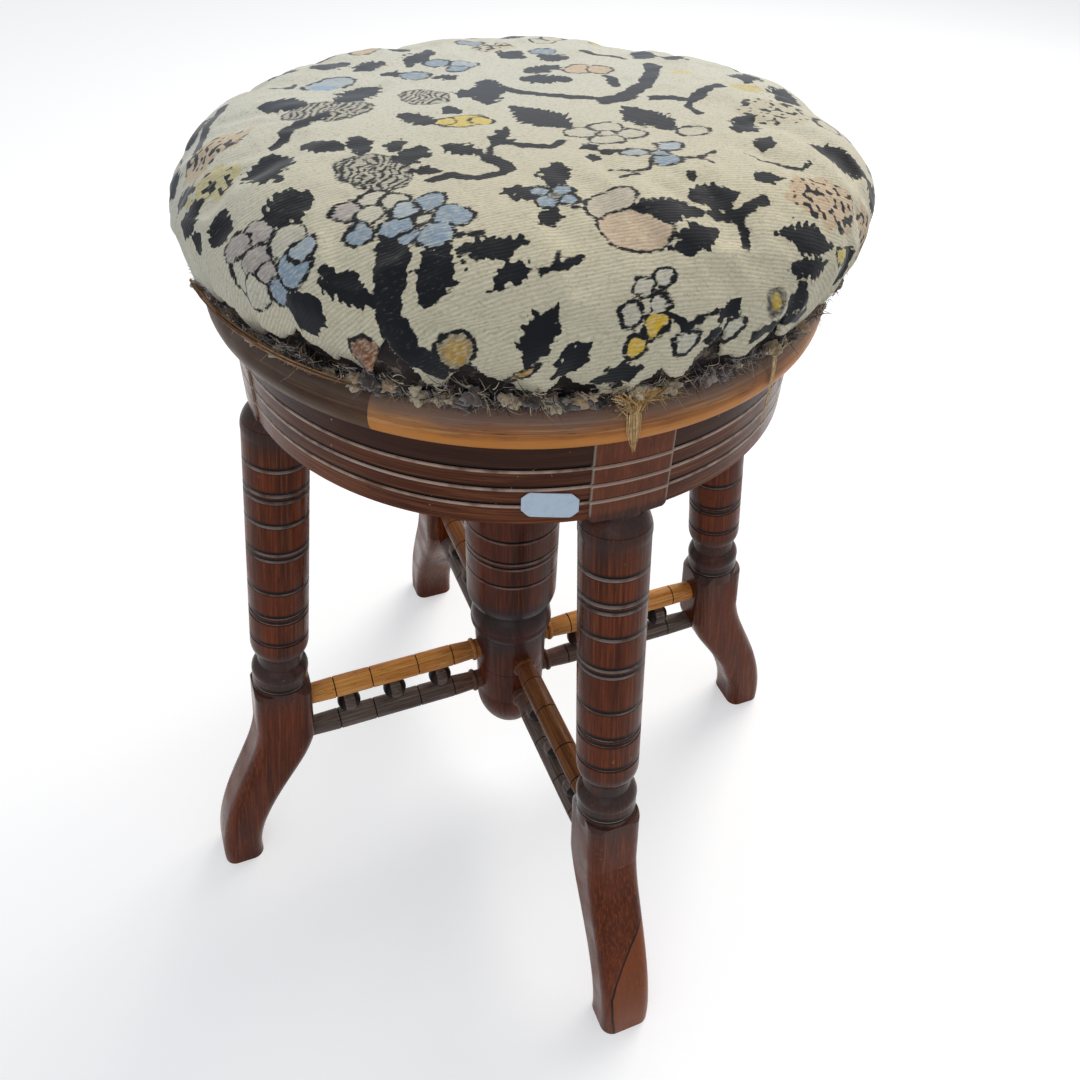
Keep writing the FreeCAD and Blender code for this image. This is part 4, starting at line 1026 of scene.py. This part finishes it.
def make_cover(form):
    """The cloth: the top of the form down to its torn edge, turned in there."""
    cover = copy_of(form, "moquette_cover")
    flat = vector_of(cover, "flat") / MM
    remove_faces(cover, flat[:, 2] > CLOTH_END)
    smoother(cover, 2)
    flat = vector_of(cover, "flat") / MM
    around = np.degrees(np.arctan2(flat[:, 1], flat[:, 0]))
    remove_faces(cover, flat[:, 2] > torn_edge(around))
    hem = bmesh.new()
    hem.from_mesh(cover.data)
    bmesh.ops.delete(hem, geom=[v for v in hem.verts if not v.link_faces], context="VERTS")
    rim = [e for e in hem.edges if e.is_boundary]
    inward = bmesh.ops.extrude_edge_only(hem, edges=rim)
    for vertex in [g for g in inward["geom"] if isinstance(g, bmesh.types.BMVert)]:
        out = Vector((vertex.co.x, vertex.co.y, 0)).normalized()
        vertex.co -= out * (HEM * MM)
    hem.to_mesh(cover.data)
    hem.free()
    flat = vector_of(cover, "flat") / MM
    colours, dark = draw_figure(flat[:, 0], flat[:, 1])
    keep_colour(cover, "figure", colours)
    store = cover.data.attributes.new("leaf_mm", "FLOAT", "POINT")
    store.data.foreach_set("value", np.clip(dark, -9, 9).astype(np.float32))
    smooth_faces(cover)
    cover.data.materials.append(moquette())
    return cover


def horsehair():
    """Matted horsehair and wool flock, brown to black with cream lumps of wadding."""
    material = new_material("horsehair_and_flock")
    where = own_place(material)
    lumps = noise(material, where, 150.0, 4.0, 0.7)
    hairs = noise(material, where, 1400.0, 3.0, distortion=2.0)
    lump = spread(material, lumps, 0.52, 0.66)
    colour = blend(material, lump, "#15110f", "#8c7d70")
    hair = spread(material, hairs, 0.4, 0.65)
    colour = blend(material, times(material, hair, 0.5), colour, "#3b2a20")
    return surface(material, colour, 0.95, (hairs, 0.9, 0.9))


def make_stuffing(form):
    """The filling under the cloth, lumpy where it shows below the torn edge."""
    stuffing = copy_of(form, "hair_stuffing")
    smoother(stuffing, 1)
    flat = vector_of(stuffing, "flat") / MM
    points = points_of(stuffing) / MM
    around = np.arctan2(points[:, 1], points[:, 0]) * FOOT_R
    low = np.clip((flat[:, 2] - 150) / 40, 0, 1)
    lump = 1.4 * value_noise(around / 7, points[:, 2] / 6, 31)
    lump += 0.8 * value_noise(around / 2.8, points[:, 2] / 2.6, 32)
    normals = np.empty(len(points) * 3)
    stuffing.data.vertices.foreach_get("normal", normals)
    on_board = points[:, 2] < SEAT_TOP + 0.6
    shift = np.where(on_board, 0, lump * low - 2.4)
    placed = points + normals.reshape(-1, 3) * shift[:, None]
    placed[:, 2] = np.maximum(placed[:, 2], SEAT_TOP + 0.1)
    put_points(stuffing, placed * MM)
    smooth_faces(stuffing)
    stuffing.data.materials.append(horsehair())
    return stuffing


# Loose fibres

def make_strands(name, strands):
    """Tapered three-sided strands, from (line of points, thickness, colour) in millimetres."""
    points = []
    faces = []
    tints = []
    for line, thick, colour in strands:
        way = np.gradient(line, axis=0)
        way /= np.maximum(np.linalg.norm(way, axis=1, keepdims=True), 1e-6)
        side = np.cross(way, (0.31, 0.52, 0.79))
        side /= np.maximum(np.linalg.norm(side, axis=1, keepdims=True), 1e-6)
        other = np.cross(way, side)
        taper = np.linspace(1, 0.25, len(line))[:, None] * thick / 2
        start = len(points)
        for turn in range(3):
            angle = turn * 2 * math.pi / 3
            points.extend(line + (side * math.cos(angle) + other * math.sin(angle)) * taper)
        count = len(line)
        for turn in range(3):
            a = start + turn * count
            b = start + (turn + 1) % 3 * count
            faces.extend((a + i, b + i, b + i + 1, a + i + 1) for i in range(count - 1))
        faces.append((start, start + 2 * count, start + count))
        end = start + count - 1
        faces.append((end, end + count, end + 2 * count))
        tints.extend([linear(colour)[:3]] * (3 * count))
    mesh = bpy.data.meshes.new(name)
    mesh.from_pydata([tuple(p * MM) for p in np.array(points)], [], faces)
    form = bmesh.new()
    form.from_mesh(mesh)
    bmesh.ops.recalc_face_normals(form, faces=form.faces)
    form.to_mesh(mesh)
    form.free()
    piece = mesh_object(name, mesh)
    keep_colour(piece, "strand", np.array(tints))
    return piece


def fibre(name, rough, sheen):
    """Loose fibre, each strand dyed or aged to its own tone along its length."""
    material = new_material(name)
    own = add(material, "Attribute", {"attribute_name": "strand"})
    tone = noise(material, own_place(material), 600.0, 2.0)
    share = spread(material, tone, 0.35, 0.7, 0.0, 0.4)
    colour = blend(material, share, (own, "Color"), "#2a2019")
    return surface(material, colour, rough, more={"Sheen Weight": sheen})


def round_seat(degrees, radius, height):
    angle = np.radians(degrees)
    return np.stack([radius * np.cos(angle), radius * np.sin(angle), height + 0 * angle], -1)


def on_stuffing(degrees, way, depth):
    """Place depth millimetres inside the cloth, for degrees round the seat and a way from the crown."""
    radii, heights = half_profile()
    ways = np.concatenate([[0], np.cumsum(np.hypot(np.diff(radii), np.diff(heights)))])
    upright = round_seat(degrees, np.interp(way, ways, radii) - depth, np.interp(way, ways, heights))
    return lean_and_shift(upright[None, :])[0]


def make_fluff():
    """Flock and hair that has worked out under the torn edge, thick at the front and left."""
    chance = np.random.default_rng(41)
    strands = []
    tones = ("#b7a78c", "#948a88", "#1d191a", "#241d1a", "#6d5138", "#8b7f80", "#cdbf9f", "#171416")
    for _ in range(6500):
        front = chance.random() < 0.72
        place = chance.uniform(-178, -40) if front else chance.uniform(-180, 180)
        if noise_at(place / 2.6, 0.5, 42) < chance.uniform(-0.7, 0.6):
            continue
        length = chance.uniform(2.5, 7) * (1 if -165 < place < -52 else 0.35)
        base = on_stuffing(place, chance.uniform(202, 225) if front else chance.uniform(212, 225),
                           chance.uniform(1.5, 4.0))
        out = round_seat(place, 1.0, 0.0)
        along = np.array([-out[1], out[0], 0])
        way = out * chance.uniform(-0.2, 0.35) + along * chance.normal(0, 0.9)
        way[2] += chance.uniform(-1.0, 0.35)
        way /= np.linalg.norm(way)
        curl = np.cross(way, chance.normal(0, 1, 3))
        share = np.linspace(0, 1, 5)[:, None]
        line = base + way * length * share + curl * length * 0.55 * share ** 2
        line[:, 2] = np.maximum(line[:, 2], SEAT_TOP + 0.3)
        thick = chance.uniform(0.25, 0.6)
        tone = (noise_at(place / 4.0, 9.5, 43) + 1) * 4 + chance.normal(0, 1.6)
        strands.append((line, thick, tones[int(np.clip(tone, 0, 7))]))
    fluff = make_strands("loose_flock", strands)
    fluff.data.materials.append(fibre("wool_flock", 0.95, 0.3))
    return fluff


def make_wads():
    """Lumps of cream and grey wadding pressed out under the torn edge."""
    chance = np.random.default_rng(51)
    whole = bmesh.new()
    tints = []
    tones = ("#b3a083", "#8d8078", "#a58c6a", "#5f5450", "#c0b294", "#2a2422", "#3c3432")
    places = list(chance.uniform(-178, -40, 95)) + list(chance.uniform(-180, 180, 40))
    for place in places:
        size = chance.uniform(1.3, 4.2)
        centre = on_stuffing(place + chance.uniform(-1, 1), chance.uniform(207, 224), 2.2)
        made = bmesh.ops.create_icosphere(whole, subdivisions=3, radius=1.0)
        tone = np.array(linear(tones[chance.integers(0, len(tones))])[:3])
        for vertex in made["verts"]:
            way = np.array(vertex.co)
            bulge = 1 + 0.5 * noise_at(way[0] * 2.6 + place, way[1] * 2.6 + way[2] * 2.1, 52)
            spot = centre + way * size * bulge * np.array([1, 1, 0.8])
            spot[2] = max(spot[2], SEAT_TOP + 0.2)
            vertex.co = Vector(spot * MM)
            tints.append(tone)
    wads = object_of(whole, "wadding")
    keep_colour(wads, "strand", np.array(tints))
    smooth_faces(wads)
    wads.data.materials.append(fibre("wool_wadding", 0.95, 0.4))
    return wads


def make_straw():
    """Two wisps of straw that hang over the rim, and frayed webbing along the left of it."""
    chance = np.random.default_rng(61)
    strands = []
    straw = ("#d3b680", "#c49d66", "#e0c898", "#b88f58", "#9c7744")
    for _ in range(70):
        place = -93 + chance.normal(0, 0.45)
        points = [on_stuffing(place + chance.normal(0, 1.8), chance.uniform(205, 213), -0.4),
                  round_seat(place + chance.normal(0, 0.8), 156.5 + chance.uniform(0, 1.5),
                             454.0 + chance.uniform(0, 2.0)),
                  round_seat(place, 156.4 + chance.uniform(0, 0.8), 449.0),
                  round_seat(place, 158.0 + chance.uniform(0, 0.7), 441.5),
                  round_seat(-92.6 + (place + 92.6) * 0.4, 157.6 + chance.uniform(0, 0.6),
                             chance.uniform(430.5, 437))]
        strands.append((np.array(points), chance.uniform(0.4, 1.0), straw[chance.integers(0, 5)]))
    for _ in range(90):
        place = -93 + chance.normal(0, 2.2)
        base = round_seat(place, 156 + chance.uniform(-3, 3), 455 + chance.uniform(-1, 5))
        way = chance.normal(0, 1, 3) + np.array([0, -0.8, 0.4])
        way *= chance.uniform(6, 14) / np.linalg.norm(way)
        share = np.linspace(0, 1, 4)[:, None]
        line = base + way * share + chance.normal(0, 1.4, 3) * share ** 2
        line[:, 2] = np.maximum(line[:, 2], SEAT_TOP + 0.3)
        strands.append((line, chance.uniform(0.3, 0.7), straw[chance.integers(0, 5)]))
    for _ in range(16):
        place = -65.5 + chance.normal(0, 0.25)
        points = [on_stuffing(place + chance.normal(0, 0.8), chance.uniform(207, 212), -0.3),
                  round_seat(place, 157, 454.4),
                  round_seat(place, 157.5 + chance.uniform(0, 0.5), 447),
                  round_seat(place, 158.2, 438),
                  round_seat(place + chance.normal(0, 0.3), 157.4, chance.uniform(419, 429))]
        strands.append((np.array(points), chance.uniform(0.3, 0.7), straw[chance.integers(0, 5)]))
    web = ("#7a5233", "#8d6542", "#5f3d26", "#a37c55", "#3d2c22")
    for _ in range(170):
        start = chance.uniform(-176, -148)
        places = np.linspace(start, min(start + chance.uniform(6, 24), -134), 7)
        way = 207 + chance.normal(0, 1.6) + (places + 176) * 0.16
        depth = chance.uniform(-1.6, 0.4)
        line = np.array([on_stuffing(place, own, depth) for place, own in zip(places, way)])
        strands.append((line, chance.uniform(0.4, 1.1), web[chance.integers(0, 5)]))
    straws = make_strands("straw_and_webbing", strands)
    straws.data.materials.append(fibre("dry_straw", 0.7, 0.0))
    return straws


# Ticket and screw

def ticket_paper():
    """Blue-tinted card, matt, with soft foxing."""
    material = new_material("blue_ticket_card")
    stains = noise(material, own_place(material), 320.0, 4.0)
    share = spread(material, stains, 0.45, 0.75, 0.0, 0.5)
    colour = blend(material, share, "#bccddc", "#a9b6c2")
    return surface(material, colour, 0.7, (stains, 0.2, 0.2))


def make_ticket():
    """Small blank ticket with clipped corners, stuck round the curve of the apron."""
    bpy.ops.mesh.primitive_grid_add(x_subdivisions=20, y_subdivisions=4, size=1.0)
    ticket = bpy.context.object
    ticket.name = "blank_ticket"
    half_length, half_height, clip, thick = 13.0, 6.8, 3.4, 0.4
    place, middle, slope = -104.7, 397.4, 0.1
    points = points_of(ticket)
    along = points[:, 0] * 2 * half_length
    up = points[:, 1] * 2
    height = half_height - np.clip(np.abs(along) - (half_length - clip), 0, clip)
    rise = up * height
    angle = math.radians(place) + along / (APRON_R + 0.9)
    radius = APRON_R + 0.6 + 0.25 * np.abs(along) / half_length
    z = middle + rise - slope * along
    put_points(ticket, np.stack([radius * np.cos(angle), radius * np.sin(angle), z], 1) * MM)
    card = ticket.modifiers.new("card", "SOLIDIFY")
    card.thickness = thick * MM
    apply_all(ticket)
    ticket.data.materials.append(ticket_paper())
    return ticket


def make_screw():
    """Square-threaded seat screw, one turn to each 8 mm, with its plain neck."""
    low, high, top = 262.0, 430.0, SEAT_BOTTOM
    pitch, turns, steps, core = 8, 20, 24, 9.4
    thread = bmesh.new()
    section = ((core, 0), (core, 3.6), (11, 4.0), (11, 7.6), (core, pitch))
    line = [thread.verts.new((r * MM, 0, (low + z) * MM)) for r, z in section]
    edges = [thread.edges.new(pair) for pair in zip(line[:-1], line[1:])]
    bmesh.ops.spin(thread, geom=line + edges, cent=(0, 0, 0), axis=(0, 0, 1),
                   dvec=(0, 0, pitch * MM / steps), angle=turns * 2 * math.pi, steps=turns * steps)
    bmesh.ops.remove_doubles(thread, verts=thread.verts, dist=2e-5)
    for radius, bottom, crown in ((core + 0.02, low + 1, high), (8.0, high - 4, top)):
        bmesh.ops.create_cone(thread, cap_ends=True, segments=32, radius1=radius * MM, radius2=radius * MM,
                              depth=(crown - bottom) * MM,
                              matrix=Matrix.Translation((0, 0, (crown + bottom) / 2 * MM)))
    for vertex in thread.verts:
        vertex.co.z = min(max(vertex.co.z, low * MM), top * MM)
    bmesh.ops.recalc_face_normals(thread, faces=thread.faces)
    screw = object_of(thread, "seat_screw")
    only(screw)
    bpy.ops.object.shade_smooth_by_angle(angle=math.radians(35))
    screw.data.materials.append(iron("greased_screw", "#6d6862", 0.3))
    return screw


make_camera()
make_floor()
make_world()
make_lights()
finish_wood()
form = make_stuffed_form()
cover = make_cover(form)
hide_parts("cover")
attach(cover, "seat")
stuffing = make_stuffing(form)
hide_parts("stuffing")
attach(stuffing, "seat")
bpy.data.objects.remove(form)
for piece in (make_fluff(), make_wads(), make_straw()):
    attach(piece, "seat")
ticket = make_ticket()
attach(ticket, "frame")
screw = make_screw()
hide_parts("spindle")
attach(screw, "seat")
